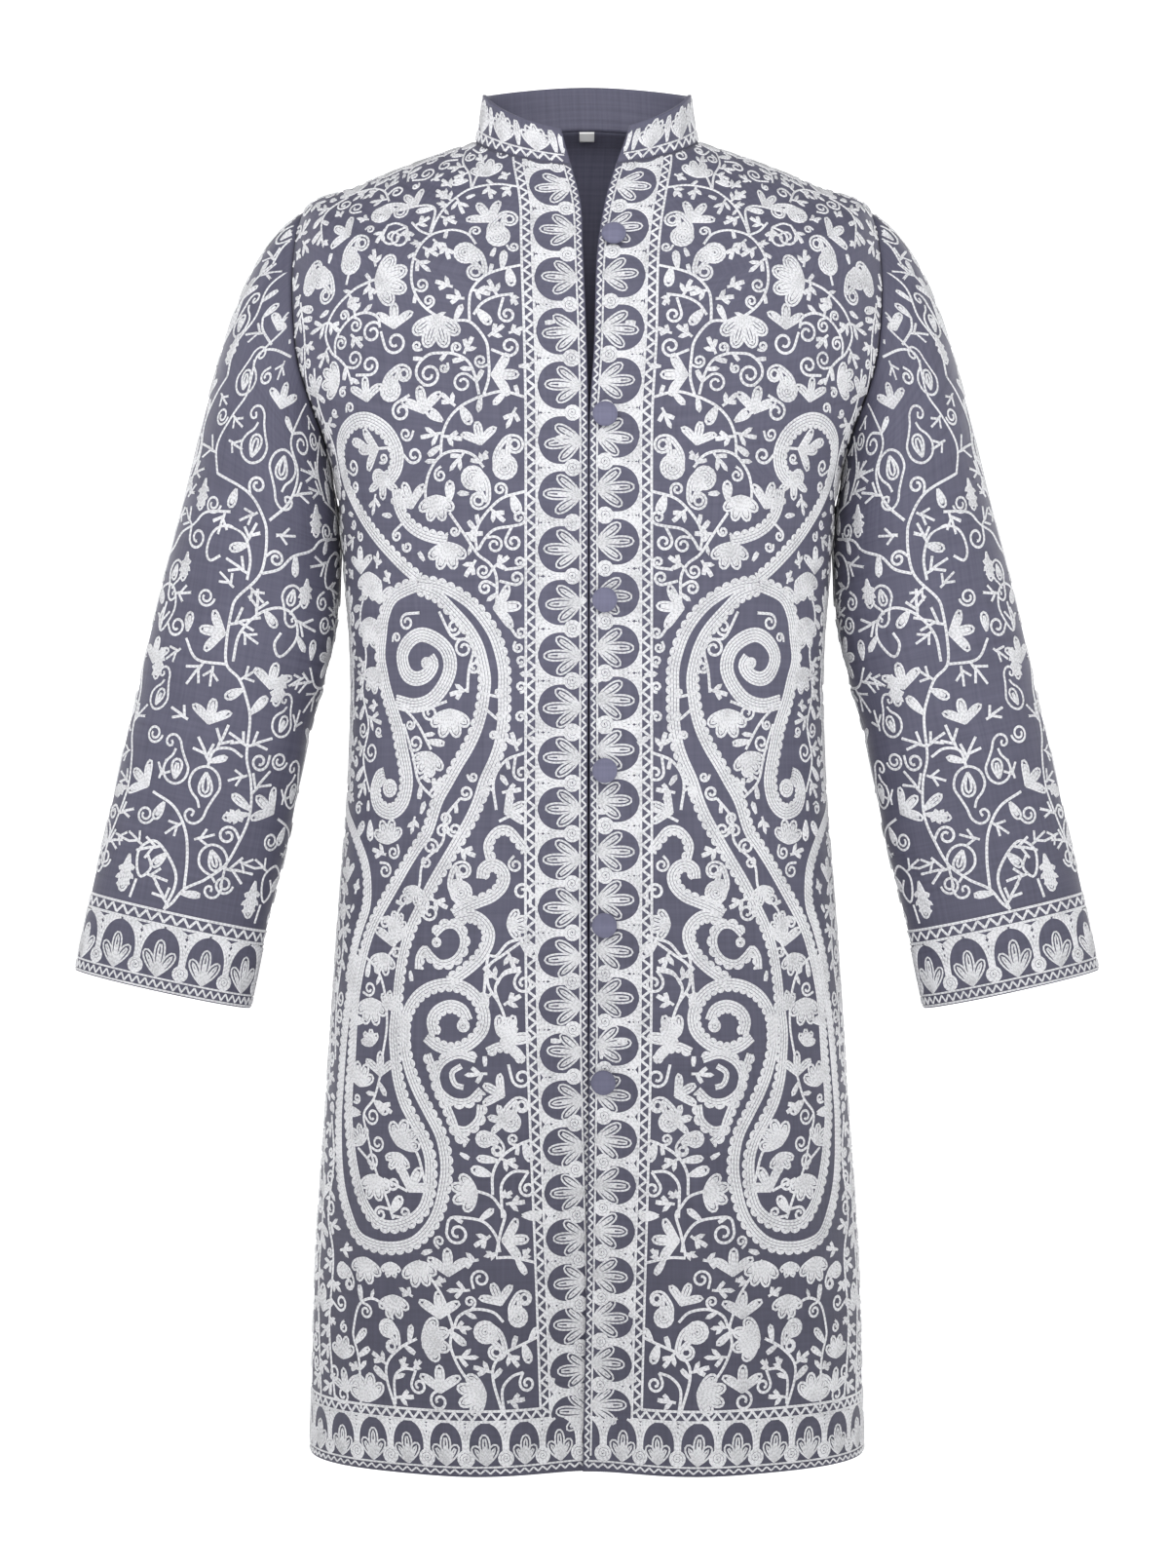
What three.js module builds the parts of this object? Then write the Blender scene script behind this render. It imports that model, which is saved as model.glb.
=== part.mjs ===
// A knee-length embroidered silk jacket, filled out as it is worn, with nobody in it: a buttoned front in two
// panels, one back, two set-in sleeves, a stand collar and six covered buttons.
// Millimetres, +Z up, the front faces -Y and the wearer's left is +X. The origin is the middle of the neck, at
// the height of the inner ends of the shoulder seams, because the jacket hangs from the wearer's shoulders.
import * as THREE from "three";

// Cloth and seams.
const CLOTH = 2; // the silk and its embroidery together
const COLLAR_CLOTH = 2.4; // two layers of silk on a stiffener
const SEAM_GAP = 0.4; // between neighbouring pieces
const STEP = 0.5; // the small steps of the numeric tangents, in millimetres
const TURN_STEP = 0.01; // and in radians, or as a share of the way across

// Horizontal sections of the body. v runs down the cloth from the neck seam; side, front and back are the
// heights of a section at its side, centre front and centre back; half, fore and aft are its reach from the
// middle. Between v = 133 and v = 318 the armholes cut the sides away.
const BODY = [
  { v: 0, side: 1, front: -24, back: 19, half: 80.5, fore: 62, aft: 60 },
  { v: 45, side: -14, front: -52, back: 4, half: 124, fore: 80, aft: 80 },
  { v: 90, side: -31, front: -84, back: -24, half: 166, fore: 97, aft: 95 },
  { v: 133, side: -49, front: -118, back: -62, half: 205, fore: 111, aft: 105 },
  { v: 225, side: -140, front: -190, back: -155, half: 219, fore: 123, aft: 114 },
  { v: 318, side: -236, front: -255, back: -243, half: 184, fore: 127, aft: 112 },
  { v: 400, side: -322, front: -322, back: -322, half: 174.5, fore: 121, aft: 104 },
  { v: 460, side: -382, front: -382, back: -382, half: 170.5, fore: 116, aft: 98 },
  { v: 540, side: -462, front: -462, back: -462, half: 172.5, fore: 113, aft: 100 },
  { v: 640, side: -562, front: -562, back: -562, half: 180, fore: 114, aft: 106 },
  { v: 760, side: -682, front: -682, back: -682, half: 188, fore: 115, aft: 111 },
  { v: 890, side: -812, front: -812, back: -812, half: 196.5, fore: 114, aft: 115 },
  { v: 1026, side: -944, front: -948, back: -947, half: 200, fore: 112, aft: 117 },
];
const SHOULDER_TIP = 133; // v where the armhole starts on the shoulder
const ARMPIT = 318; // v where it closes under the arm
const HEM = 1026;
const FULLNESS = 0.06; // how much squarer than an ellipse a section is
const HEIGHT_POWER = 1.6; // how the height of a section blends from its side to its centre
const ARMHOLE_FRONT = 0.4; // the most that the armhole cuts into the front, in radians round the body
const ARMHOLE_BACK = 0.35;
const ARMHOLE_POWER = 0.6;

// Where the two free front edges run, as x at each v: open at the throat, edge to edge between the buttons,
// and lapped left over right towards the hem.
const FRONT_EDGE = [
  { v: 0, left: 20.5, right: -11.5 },
  { v: 48, left: 12.5, right: -4.5 },
  { v: 100, left: 7, right: -2.8 },
  { v: 180, left: 5, right: -0.4 },
  { v: 252, left: 1.9, right: 0.7 },
  { v: 400, left: 1.7, right: 0.7 },
  { v: 700, left: 1.6, right: 0.8 },
  { v: 890, left: -0.6, right: 5 },
  { v: 1026, left: -3, right: 9 },
];
const LAP_FROM = 640; // v where the left edge starts to lift over the right
const LAP_FULL = 780;
const LAP_LIFT = { left: 1.4, right: -2.2 }; // outwards and inwards at the edge
const LAP_REACH = 34; // how far from the edge the lift fades out

// The folds that shape the skirt: how far the cloth swings in (positive) or out, at x, over a width, growing
// from v to the hem. The first is the hollow between the two thighs.
const SKIRT_FOLDS = [
  { side: "front", x: 0, width: 46, depth: 31, from: 500 },
  { side: "front", x: 92, width: 34, depth: -5, from: 560 },
  { side: "front", x: -92, width: 34, depth: -5, from: 560 },
  { side: "back", x: -20, width: 40, depth: 20, from: 470 },
  { side: "back", x: 70, width: 30, depth: -9, from: 600 },
  { side: "back", x: -98, width: 32, depth: -8, from: 560 },
];

// Rings of the left sleeve below the armhole, mirrored for the right: x, y, z of the middle, half the width
// across the arm and from front to back, and tilt of the ring in degrees.
const SLEEVE = [
  { x: 237, y: 6, z: -284.5, across: 59.8, deep: 62, tilt: 14 },
  { x: 243.9, y: 4, z: -329.5, across: 64.5, deep: 57, tilt: 13.8 },
  { x: 254.3, y: 2, z: -376, across: 65, deep: 53, tilt: 13.5 },
  { x: 267.4, y: -1, z: -433, across: 65, deep: 50, tilt: 13.2 },
  { x: 279.4, y: -5, z: -489.5, across: 65, deep: 47, tilt: 13 },
  { x: 292.8, y: -9, z: -546.5, across: 64.4, deep: 44, tilt: 12.8 },
  { x: 306, y: -13, z: -611, across: 64.5, deep: 41, tilt: 12.5 },
];
const CAP_RUN = { armhole: 0.26, ring: 0.38 }; // how far the cap runs straight at its two ends, of its length
const CAP_LEAVES = { outwards: 0.45, forwards: 0.2, down: 0.55 }; // which way the cap leaves the armhole
const CAP_LOOKS_TO = 0.2; // the place below the first ring that the cap runs towards
const UNDER_APART = 2; // how much more the cap stands off the armhole's edge under the arm
// Soft creases of the sleeves: where along the rings (0 to 6) and round the arm they lie, how long they are
// each way, their slant and their depth.
const SLEEVE_CREASES = [
  { along: 2.3, round: 2.5, length: 0.35, reach: 0.9, slant: 0.5, depth: 3.4 },
  { along: 3.1, round: 2.2, length: 0.3, reach: 0.8, slant: 0.45, depth: 2.8 },
  { along: 2.7, round: 4.2, length: 0.35, reach: 0.9, slant: -0.4, depth: 3 },
];

// The stand collar: its height at the front ends, sides and back, and how far it leans in.
const COLLAR = { frontHeight: 25, sideHeight: 34.5, backHeight: 31, lean: 0.94, foreLean: 0.91 };
const COLLAR_OPENS_TO = { left: 32, right: -19.6 }; // x of the tops of its two ends, before they lean in

// Buttons: covered domes on short shanks, this far in from the left edge and down the front (v).
const BUTTON = { radius: 8.8, crown: 4.2, rim: 1.4, roll: 2.4, underside: 7.04, shank: 2.6, shankRadius: 2.6 };
const BUTTON_INSET = 10.5;
const DOME_FROM = -0.4; // where the dome's profile starts under its rim, as a share of a quarter turn
const BUTTONS_AT = [84, 249, 414, 532, 640, 750];
const BUTTON_SIDES = 16;
const HALVINGS = 40; // how often the search for a button's place halves its range
const LABEL = { width: 11, drop: 10, thick: 0.8, below: 2, clear: 0.8 };

// How finely the cloth is divided.
const ROWS = { shoulder: 4, armhole: 9, skirt: 14, cap: 5, sleeve: 10, collar: 2 };
const COLUMNS = { front: 11, back: 16 };
const EDGE_FINE = 1.35; // how much closer the columns of a front lie towards its free edge

const lerp = THREE.MathUtils.lerp;
const vector = (x, y, z) => new THREE.Vector3(x, y, z);

// A table column read at a place between its rows, as a smooth curve through them.
function column(rows, key, name, at) {
  const last = rows.length - 1;
  let i = rows.findIndex((row, k) => k === last || at < rows[k + 1][key]);
  i = Math.max(0, Math.min(i, last - 1));
  const slope = (k) => {
    const before = rows[Math.max(k - 1, 0)];
    const after = rows[Math.min(k + 1, last)];
    return (after[name] - before[name]) / (after[key] - before[key]);
  };
  const span = rows[i + 1][key] - rows[i][key];
  const u = THREE.MathUtils.clamp((at - rows[i][key]) / span, 0, 1);
  const ease = u * u * (3 - 2 * u);
  return (
    lerp(rows[i][name], rows[i + 1][name], ease) +
    span * (u * (1 - u) ** 2 * slope(i) - u * u * (1 - u) * slope(i + 1))
  );
}

const smooth = (from, to, at) => THREE.MathUtils.smoothstep(at, from, to);
const body = (name, v) => column(BODY, "v", name, v);

// A point of the body's outer face. round is 0 at the wearer's left side, a quarter turn at the centre front.
function bodyPoint(v, round) {
  const c = Math.cos(round);
  const s = Math.sin(round);
  const full = 1 + FULLNESS * (2 * s * c) ** 2;
  const [facing, depth] = s > 0 ? ["front", body("fore", v)] : ["back", body("aft", v)];
  const p = vector(
    body("half", v) * c * full,
    -depth * s * full,
    lerp(body("side", v), body(facing, v), Math.abs(s) ** HEIGHT_POWER),
  );
  for (const fold of SKIRT_FOLDS) {
    if (fold.side !== facing) continue;
    const swing = fold.depth * smooth(fold.from, HEM, v) * Math.exp(-(((p.x - fold.x) / fold.width) ** 2));
    p.y += swing * s * Math.abs(s);
  }
  return p;
}

// How far round the body an armhole edge lies at v, on the front or the back.
function armholeRound(v, most) {
  const down = THREE.MathUtils.clamp((v - SHOULDER_TIP) / (ARMPIT - SHOULDER_TIP), 0, 1);
  return most * Math.sin(Math.PI * down) ** ARMHOLE_POWER;
}

// How far round the body the centre-front edge of a panel lies at v.
function edgeRound(v, panel) {
  return Math.acos(column(FRONT_EDGE, "v", panel, v) / body("half", v));
}

// A front panel's point: across runs from its side or armhole (0) to its free edge (1).
function frontPoint(panel, v, across) {
  const outer = armholeRound(v, ARMHOLE_FRONT) + SEAM_GAP / 2 / body("fore", v);
  const from = panel === "left" ? outer : Math.PI - outer;
  const p = bodyPoint(v, lerp(from, edgeRound(v, panel), across));
  const toEdge = Math.abs(p.x - column(FRONT_EDGE, "v", panel, v));
  p.y -= LAP_LIFT[panel] * smooth(LAP_FROM, LAP_FULL, v) * (1 - smooth(0, LAP_REACH, toEdge));
  return p;
}

// The back's point: across runs from its left armhole and side (0) to the right ones (1).
function backPoint(v, across) {
  const outer = armholeRound(v, ARMHOLE_BACK) + SEAM_GAP / 2 / body("aft", v);
  return bodyPoint(v, lerp(2 * Math.PI - outer, Math.PI + outer, across));
}

// The outward normal of a surface point(a, b), which runs anticlockwise seen from outside.
function normalOf(point, a, b, stepA, stepB) {
  const alongA = point(a + stepA, b).sub(point(a - stepA, b));
  const alongB = point(a, b + stepB).sub(point(a, b - stepB));
  return alongA.cross(alongB).normalize();
}

// Cloth over a grid of outer points with their normals: two faces and a rim, as one closed body.
function clothWall(rows, thickness, closedRound = false) {
  const high = rows.length;
  const wide = rows[0].length;
  const position = [];
  for (const inwards of [0, thickness])
    for (const row of rows)
      for (const { point, normal } of row) position.push(...point.clone().addScaledVector(normal, -inwards).toArray());
  const at = (inner, i, j) => inner * high * wide + i * wide + (j % wide);
  const faces = [];
  const quad = (a, b, c, d) => faces.push(a, b, c, a, c, d);
  const spans = closedRound ? wide : wide - 1;
  for (let i = 0; i < high - 1; i++)
    for (let j = 0; j < spans; j++) {
      quad(at(0, i, j), at(0, i + 1, j), at(0, i + 1, j + 1), at(0, i, j + 1));
      quad(at(1, i, j), at(1, i, j + 1), at(1, i + 1, j + 1), at(1, i + 1, j));
    }
  for (let j = 0; j < spans; j++) {
    quad(at(0, 0, j), at(0, 0, j + 1), at(1, 0, j + 1), at(1, 0, j));
    quad(at(0, high - 1, j + 1), at(0, high - 1, j), at(1, high - 1, j), at(1, high - 1, j + 1));
  }
  if (!closedRound)
    for (let i = 0; i < high - 1; i++) {
      quad(at(0, i + 1, 0), at(0, i, 0), at(1, i, 0), at(1, i + 1, 0));
      quad(at(0, i, wide - 1), at(0, i + 1, wide - 1), at(1, i + 1, wide - 1), at(1, i, wide - 1));
    }
  const geometry = new THREE.BufferGeometry();
  geometry.setAttribute("position", new THREE.Float32BufferAttribute(position, 3));
  geometry.setIndex(faces);
  geometry.computeVertexNormals();
  return geometry;
}

const evenly = (from, to, steps) => Array.from({ length: steps + 1 }, (_, i) => lerp(from, to, i / steps));
const shoulderLevels = evenly(0, SHOULDER_TIP, ROWS.shoulder);
const armholeLevels = evenly(SHOULDER_TIP, ARMPIT, ROWS.armhole);
const skirtLevels = evenly(ARMPIT, HEM, ROWS.skirt);
const LEVELS = [...shoulderLevels, ...armholeLevels.slice(1), ...skirtLevels.slice(1)];
const FRONT_ACROSS = evenly(0, 1, COLUMNS.front).map((t) => 1 - (1 - t) ** EDGE_FINE);
const BACK_ACROSS = evenly(0, 1, COLUMNS.back);

// A torso panel: surface(v, across) sampled on the levels, from its left to its right seen from outside.
function torsoPanel(surface, placesAcross, outwards) {
  const rows = LEVELS.map((v) =>
    placesAcross.map((across) => {
      const point = surface(v, across);
      const inside = THREE.MathUtils.clamp(across, TURN_STEP, 1 - TURN_STEP);
      const level = THREE.MathUtils.clamp(v, STEP, HEM - STEP);
      return { point, normal: normalOf(surface, level, inside, STEP, TURN_STEP * outwards) };
    }),
  );
  return clothWall(outwards > 0 ? rows : rows.map((row) => row.reverse()), CLOTH);
}

// The left armhole's edge as pairs of a body point and its normal: from the shoulder down the front to the
// armpit and up the back.
function armholeLoop() {
  const places = [
    ...armholeLevels.map((v) => [v, armholeRound(v, ARMHOLE_FRONT)]),
    ...armholeLevels.slice(1, -1).reverse().map((v) => [v, -armholeRound(v, ARMHOLE_BACK)]),
  ];
  return places.map(([v, round]) => ({
    point: bodyPoint(v, round),
    normal: normalOf(bodyPoint, v, round + TURN_STEP / 10, STEP, -TURN_STEP / 10),
  }));
}

const ARMHOLE = armholeLoop();
const SLEEVE_RINGS = SLEEVE.map((row, ring) => ({ ring, ...row }));

// A point of the sleeve's tube at a place along the rings, and round: 0 outside the arm, a quarter at the front.
function tubePoint(ring, round) {
  const get = (name) => column(SLEEVE_RINGS, "ring", name, ring);
  const tilt = THREE.MathUtils.degToRad(get("tilt"));
  let across = get("across");
  let deep = get("deep");
  for (const crease of SLEEVE_CREASES) {
    const along = (ring - crease.along - crease.slant * (round - crease.round)) / crease.length;
    const reach = (round - crease.round) / crease.reach;
    const dent = crease.depth * Math.exp(-(along ** 2) - reach ** 2);
    across -= dent;
    deep -= dent;
  }
  return vector(
    get("x") + across * Math.cos(round) * Math.cos(tilt),
    get("y") - deep * Math.sin(round),
    get("z") + across * Math.cos(round) * Math.sin(tilt),
  );
}

// The sleeve's cap, from the armhole (0) to the first ring (1), as a cubic from each point of the armhole.
function capPoint(spot, along) {
  const round = (2 * Math.PI * spot) / ARMHOLE.length;
  const { point, normal } = ARMHOLE[spot];
  const under = (1 - Math.cos(round)) / 2;
  const leaving = vector(
    CAP_LEAVES.outwards * (1 + Math.cos(round)),
    -CAP_LEAVES.forwards * Math.sin(round),
    -lerp(CAP_LEAVES.down, 1, under),
  ).normalize();
  const apart = leaving.clone().addScaledVector(normal, UNDER_APART * under).normalize();
  const start = point.clone().addScaledVector(apart, SEAM_GAP);
  const end = tubePoint(0, round);
  const arriving = tubePoint(CAP_LOOKS_TO, round).sub(end).normalize();
  const far = end.distanceTo(start);
  const curve = new THREE.CubicBezierCurve3(
    start,
    start.clone().addScaledVector(leaving, CAP_RUN.armhole * far),
    end.clone().addScaledVector(arriving, -CAP_RUN.ring * far),
    end,
  );
  return curve.getPoint(along);
}

function sleeve() {
  const spots = ARMHOLE.length;
  const points = [
    ...evenly(0, 1, ROWS.cap).map((along) => ARMHOLE.map((_, spot) => capPoint(spot, along))),
    ...evenly(0, SLEEVE.length - 1, ROWS.sleeve)
      .slice(1)
      .map((ring) => ARMHOLE.map((_, spot) => tubePoint(ring, (2 * Math.PI * spot) / spots))),
  ];
  const rows = points.map((row, i) =>
    row.map((point, j) => {
      const down = points[Math.min(i + 1, points.length - 1)][j].clone().sub(points[Math.max(i - 1, 0)][j]);
      const round = row[(j + 1) % spots].clone().sub(row[(j + spots - 1) % spots]);
      return { point, normal: down.cross(round).normalize().negate() };
    }),
  );
  return clothWall(rows.map((row) => row.reverse()), CLOTH, true);
}

// The places round the neck seam where the panels' columns end, from the right edge round the back to the left.
function neckRounds() {
  const seam = SEAM_GAP / 2 / body("fore", 0);
  const front = (panel) =>
    FRONT_ACROSS.map((across) => lerp(panel === "left" ? seam : Math.PI - seam, edgeRound(0, panel), across));
  const back = BACK_ACROSS.map((across) => lerp(2 * Math.PI - seam, Math.PI + seam, across));
  return [...front("right").reverse(), ...back.reverse().slice(1, -1), ...front("left").map((r) => r + 2 * Math.PI)];
}

// The collar's point: round the neck, and up from the seam (0) to its top edge (1).
function collarPoint(round, up) {
  const ends = [edgeRound(0, "right"), 2 * Math.PI + edgeRound(0, "left")];
  const turnOf = (x) => Math.acos(x / body("half", 0));
  const openTo = [turnOf(COLLAR_OPENS_TO.right), 2 * Math.PI + turnOf(COLLAR_OPENS_TO.left)];
  const share = (round - ends[0]) / (ends[1] - ends[0]);
  const turned = lerp(round, lerp(openTo[0], openTo[1], share), up);
  const base = bodyPoint(0, turned);
  const front = Math.max(0, Math.sin(turned));
  const back = Math.max(0, -Math.sin(turned));
  const height =
    COLLAR.sideHeight +
    (COLLAR.frontHeight - COLLAR.sideHeight) * front ** 2 +
    (COLLAR.backHeight - COLLAR.sideHeight) * back ** 2;
  const drawnIn = Math.sin((up * Math.PI) / 2);
  return vector(
    base.x * lerp(1, COLLAR.lean, drawnIn),
    base.y * lerp(1, lerp(COLLAR.lean, COLLAR.foreLean, front), drawnIn),
    base.z + SEAM_GAP + height * up,
  );
}

function collar() {
  const rounds = neckRounds();
  const [first, last] = [rounds[0] + TURN_STEP, rounds[rounds.length - 1] - TURN_STEP];
  const rows = evenly(1, 0, ROWS.collar).map((up) =>
    rounds.map((round) => {
      const inside = [
        THREE.MathUtils.clamp(round, first, last),
        THREE.MathUtils.clamp(up, TURN_STEP, 1 - TURN_STEP),
      ];
      return { point: collarPoint(round, up), normal: normalOf(collarPoint, ...inside, -TURN_STEP, TURN_STEP) };
    }),
  );
  return clothWall(rows.map((row) => row.reverse()), COLLAR_CLOTH);
}

// Where a button sits: a frame on the left front whose z axis leaves the cloth.
function buttonFrame(v) {
  const target = column(FRONT_EDGE, "v", "left", v) + BUTTON_INSET;
  let [near, far] = [1, 0.5];
  for (let i = 0; i < HALVINGS; i++) {
    const middle = (near + far) / 2;
    if (frontPoint("left", v, middle).x < target) near = middle;
    else far = middle;
  }
  const surface = (level, across) => frontPoint("left", level, across);
  const out = normalOf(surface, v, near, STEP, -TURN_STEP);
  const right = vector(1, 0, 0).addScaledVector(out, -out.x).normalize();
  const matrix = new THREE.Matrix4().makeBasis(right, out.clone().cross(right), out);
  return matrix.setPosition(frontPoint("left", v, near));
}

// A covered button: a short shank under a domed cap with a rolled rim, turned round its own axis.
function buttonShape() {
  const { radius, shank, shankRadius, underside, rim, roll, crown } = BUTTON;
  const dome = evenly(DOME_FROM, 1, 5).map((t) => {
    const angle = (t * Math.PI) / 2;
    return new THREE.Vector2(radius * Math.cos(angle), shank + rim + (t < 0 ? roll : crown) * Math.sin(angle));
  });
  dome[dome.length - 1].x = 0;
  const profile = [
    new THREE.Vector2(0, SEAM_GAP),
    new THREE.Vector2(shankRadius, SEAM_GAP),
    new THREE.Vector2(shankRadius, shank),
    new THREE.Vector2(underside, shank),
    ...dome,
  ];
  const shape = new THREE.LatheGeometry(profile, BUTTON_SIDES);
  return shape.rotateX(Math.PI / 2);
}

// The small blank label under the collar, inside the back.
function label() {
  const middle = LABEL.below + LABEL.drop / 2;
  const centre = backPoint(middle, 0.5);
  const out = normalOf(backPoint, middle, 0.5, STEP, TURN_STEP);
  const down = backPoint(LABEL.drop, 0.5).sub(backPoint(0, 0.5)).normalize();
  const plate = new THREE.BoxGeometry(LABEL.width, LABEL.thick, LABEL.drop);
  const away = CLOTH + SEAM_GAP + LABEL.clear + LABEL.thick / 2;
  const matrix = new THREE.Matrix4().makeBasis(vector(1, 0, 0), vector(1, 0, 0).cross(down), down.negate());
  return plate.applyMatrix4(matrix.setPosition(centre.addScaledVector(out, -away)));
}

const silk = new THREE.MeshStandardMaterial({ color: 0x5f6076, roughness: 0.62, side: THREE.DoubleSide });
const embroidered = new THREE.MeshStandardMaterial({ color: 0xa3a3ad, roughness: 0.7, side: THREE.DoubleSide });
const white = new THREE.MeshStandardMaterial({ color: 0xe9e9ea, roughness: 0.8 });

const jacket = new THREE.Group();
function add(name, geometry, material, matrix) {
  const mesh = new THREE.Mesh(geometry, material);
  mesh.name = name;
  if (matrix) mesh.applyMatrix4(matrix);
  jacket.add(mesh);
}

add("front_left", torsoPanel((v, across) => frontPoint("left", v, across), FRONT_ACROSS, -1), embroidered);
add("front_right", torsoPanel((v, across) => frontPoint("right", v, across), FRONT_ACROSS, 1), embroidered);
add("back", torsoPanel(backPoint, BACK_ACROSS, 1), embroidered);
add("sleeve_left", sleeve(), embroidered);
add("sleeve_right", sleeve(), embroidered, new THREE.Matrix4().makeScale(-1, 1, 1));
add("collar", collar(), embroidered);
add("label", label(), white);
BUTTONS_AT.forEach((v, i) => add(`button_${i + 1}`, buttonShape(), silk, buttonFrame(v)));

export default jacket;
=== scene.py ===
# A knee-length silk jacket with ivory chain-stitch embroidery, filled out as it is worn with nobody in it.
# Lengths are worked out in millimetres of cloth and put into the meshes in metres, in the part's own frame.
import math

import bpy
import numpy as np
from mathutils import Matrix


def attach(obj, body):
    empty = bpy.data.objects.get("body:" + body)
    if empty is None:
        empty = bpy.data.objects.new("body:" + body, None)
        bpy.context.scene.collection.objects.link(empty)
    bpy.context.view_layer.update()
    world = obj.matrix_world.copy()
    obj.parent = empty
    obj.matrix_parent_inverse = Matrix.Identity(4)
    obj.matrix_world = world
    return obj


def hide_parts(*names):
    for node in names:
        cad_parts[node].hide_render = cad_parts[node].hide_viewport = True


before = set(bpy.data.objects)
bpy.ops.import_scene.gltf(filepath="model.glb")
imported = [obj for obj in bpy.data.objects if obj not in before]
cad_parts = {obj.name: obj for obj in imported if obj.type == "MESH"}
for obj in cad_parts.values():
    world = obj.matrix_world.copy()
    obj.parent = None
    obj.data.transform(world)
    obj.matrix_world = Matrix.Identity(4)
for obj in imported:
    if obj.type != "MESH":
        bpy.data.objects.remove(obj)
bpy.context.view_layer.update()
MM = 0.001

# The camera stands level with the middle of the jacket, three metres in front of it, a little to its right.
camera_data = bpy.data.cameras.new("camera")
camera = bpy.data.objects.new("camera", camera_data)
bpy.context.scene.collection.objects.link(camera)
camera.location = (-0.00177, -3.0, -0.4635)
camera.rotation_euler = (math.radians(90), 0, 0)
camera_data.sensor_width = 36.0
camera_data.lens = 95.07
camera_data.clip_end = 60.0
bpy.context.scene.camera = camera

# The stage is one round, pale bowl: a flat floor that sweeps up into a wall all round, turned from a
# profile. It is lit by large soft boxes in front, above and behind, and by its own pale surface.
FLOOR_Z, STAGE_RADIUS, SWEEP, WALL_TOP = -1.55, 8.5, 3.0, 5.0
STAGE_MIDDLE = 0.001  # the small hole that the floor is turned round


def mesh_piece(name, points, faces, material, uv=None):
    """A mesh object from arrays: points (n, 3) in metres, four-cornered faces (m, 4), a UV pair a point."""
    mesh = bpy.data.meshes.new(name)
    mesh.vertices.add(len(points))
    mesh.vertices.foreach_set("co", np.ascontiguousarray(points, np.float32).ravel())
    mesh.loops.add(4 * len(faces))
    mesh.loops.foreach_set("vertex_index", np.ascontiguousarray(faces, np.int32).ravel())
    mesh.polygons.add(len(faces))
    mesh.polygons.foreach_set("loop_start", np.arange(0, 4 * len(faces), 4, dtype=np.int32))
    mesh.polygons.foreach_set("use_smooth", np.ones(len(faces), bool))
    mesh.update(calc_edges=True)
    if uv is not None:
        layer = mesh.uv_layers.new(name="cloth")
        layer.data.foreach_set("uv", np.ascontiguousarray(uv[faces.ravel()], np.float32).ravel())
    mesh.validate()
    mesh.materials.append(material)
    piece = bpy.data.objects.new(name, mesh)
    bpy.context.scene.collection.objects.link(piece)
    return piece


def grid_faces(high, wide, round_wide=False):
    """Faces of a grid of high rows and wide columns, whose last column may meet its first."""
    i, j = np.meshgrid(np.arange(high - 1), np.arange(wide if round_wide else wide - 1), indexing="ij")
    k = (j + 1) % wide
    return np.stack([i * wide + j, (i + 1) * wide + j, (i + 1) * wide + k, i * wide + k], -1).reshape(-1, 4)


def plain_material(name, colour, roughness, glow=0.0):
    """One colour and roughness all over, with a white glow for the stage."""
    material = bpy.data.materials.new(name)
    material.use_nodes = True
    shader = material.node_tree.nodes["Principled BSDF"]
    shader.inputs["Base Color"].default_value = (*colour, 1)
    shader.inputs["Roughness"].default_value = roughness
    shader.inputs["Emission Color"].default_value = (1, 1, 1, 1)
    shader.inputs["Emission Strength"].default_value = glow
    return material


arc = np.linspace(0, math.pi / 2, 24)
stage_profile = np.vstack([
    [[STAGE_MIDDLE, FLOOR_Z]],
    np.stack([STAGE_RADIUS - SWEEP + SWEEP * np.sin(arc), FLOOR_Z + SWEEP * (1 - np.cos(arc))], 1),
    [[STAGE_RADIUS, WALL_TOP]],
])
turns = np.linspace(0, 2 * math.pi, 96, endpoint=False)
stage_points = np.stack([
    stage_profile[:, :1] * np.cos(turns),
    stage_profile[:, :1] * np.sin(turns),
    np.repeat(stage_profile[:, 1:], len(turns), 1),
], -1).reshape(-1, 3)
stage_faces = grid_faces(len(stage_profile), len(turns), True)[:, ::-1]
pale = plain_material("pale_stage", (0.9, 0.9, 0.9), roughness=0.9, glow=0.55)
stage = mesh_piece("stage", stage_points, stage_faces, pale)

world = bpy.data.worlds.new("studio")
world.use_nodes = True
world.node_tree.nodes["Background"].inputs["Color"].default_value = (0.97, 0.98, 1.0, 1)
world.node_tree.nodes["Background"].inputs["Strength"].default_value = 0.2
bpy.context.scene.world = world
bpy.context.scene.view_settings.view_transform = "Standard"

SOFT_BOXES = (
    # name          x     y     z    width height watts aimed at z
    ("key",      -0.55, -1.5,  0.8,  1.1,  0.8,  10.0, 0.0),
    ("fill",       0.9, -1.8,  0.6,  1.0,  0.8,   5.0, 0.0),
    ("above",      0.0, -0.45, 0.9,  0.8,  0.5,   2.0, 0.0),
    ("in_neck",    0.0, -0.03, 0.01, 0.08, 0.05, 0.05, -0.03),
    ("back_left", -2.0,  2.4,  1.0,  1.5,  1.8,  13.0, -0.46),
    ("back_right", 2.0,  2.4,  1.0,  1.5,  1.8,  13.0, -0.46),
)
for name, x, y, z, width, height, watts, aim in SOFT_BOXES:
    light = bpy.data.lights.new(name, "AREA")
    light.shape = "RECTANGLE"
    light.size, light.size_y, light.energy = width, height, watts
    box = bpy.data.objects.new(name, light)
    bpy.context.scene.collection.objects.link(box)
    box.location = (x, y, z)
    toward = np.array([0, 0, aim]) - np.array([x, y, z])
    tip, swing = math.atan2(math.hypot(*toward[:2]), -toward[2]), math.atan2(-toward[0], toward[1])
    box.rotation_euler = (tip, 0, swing)
    box.visible_camera = False


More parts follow.
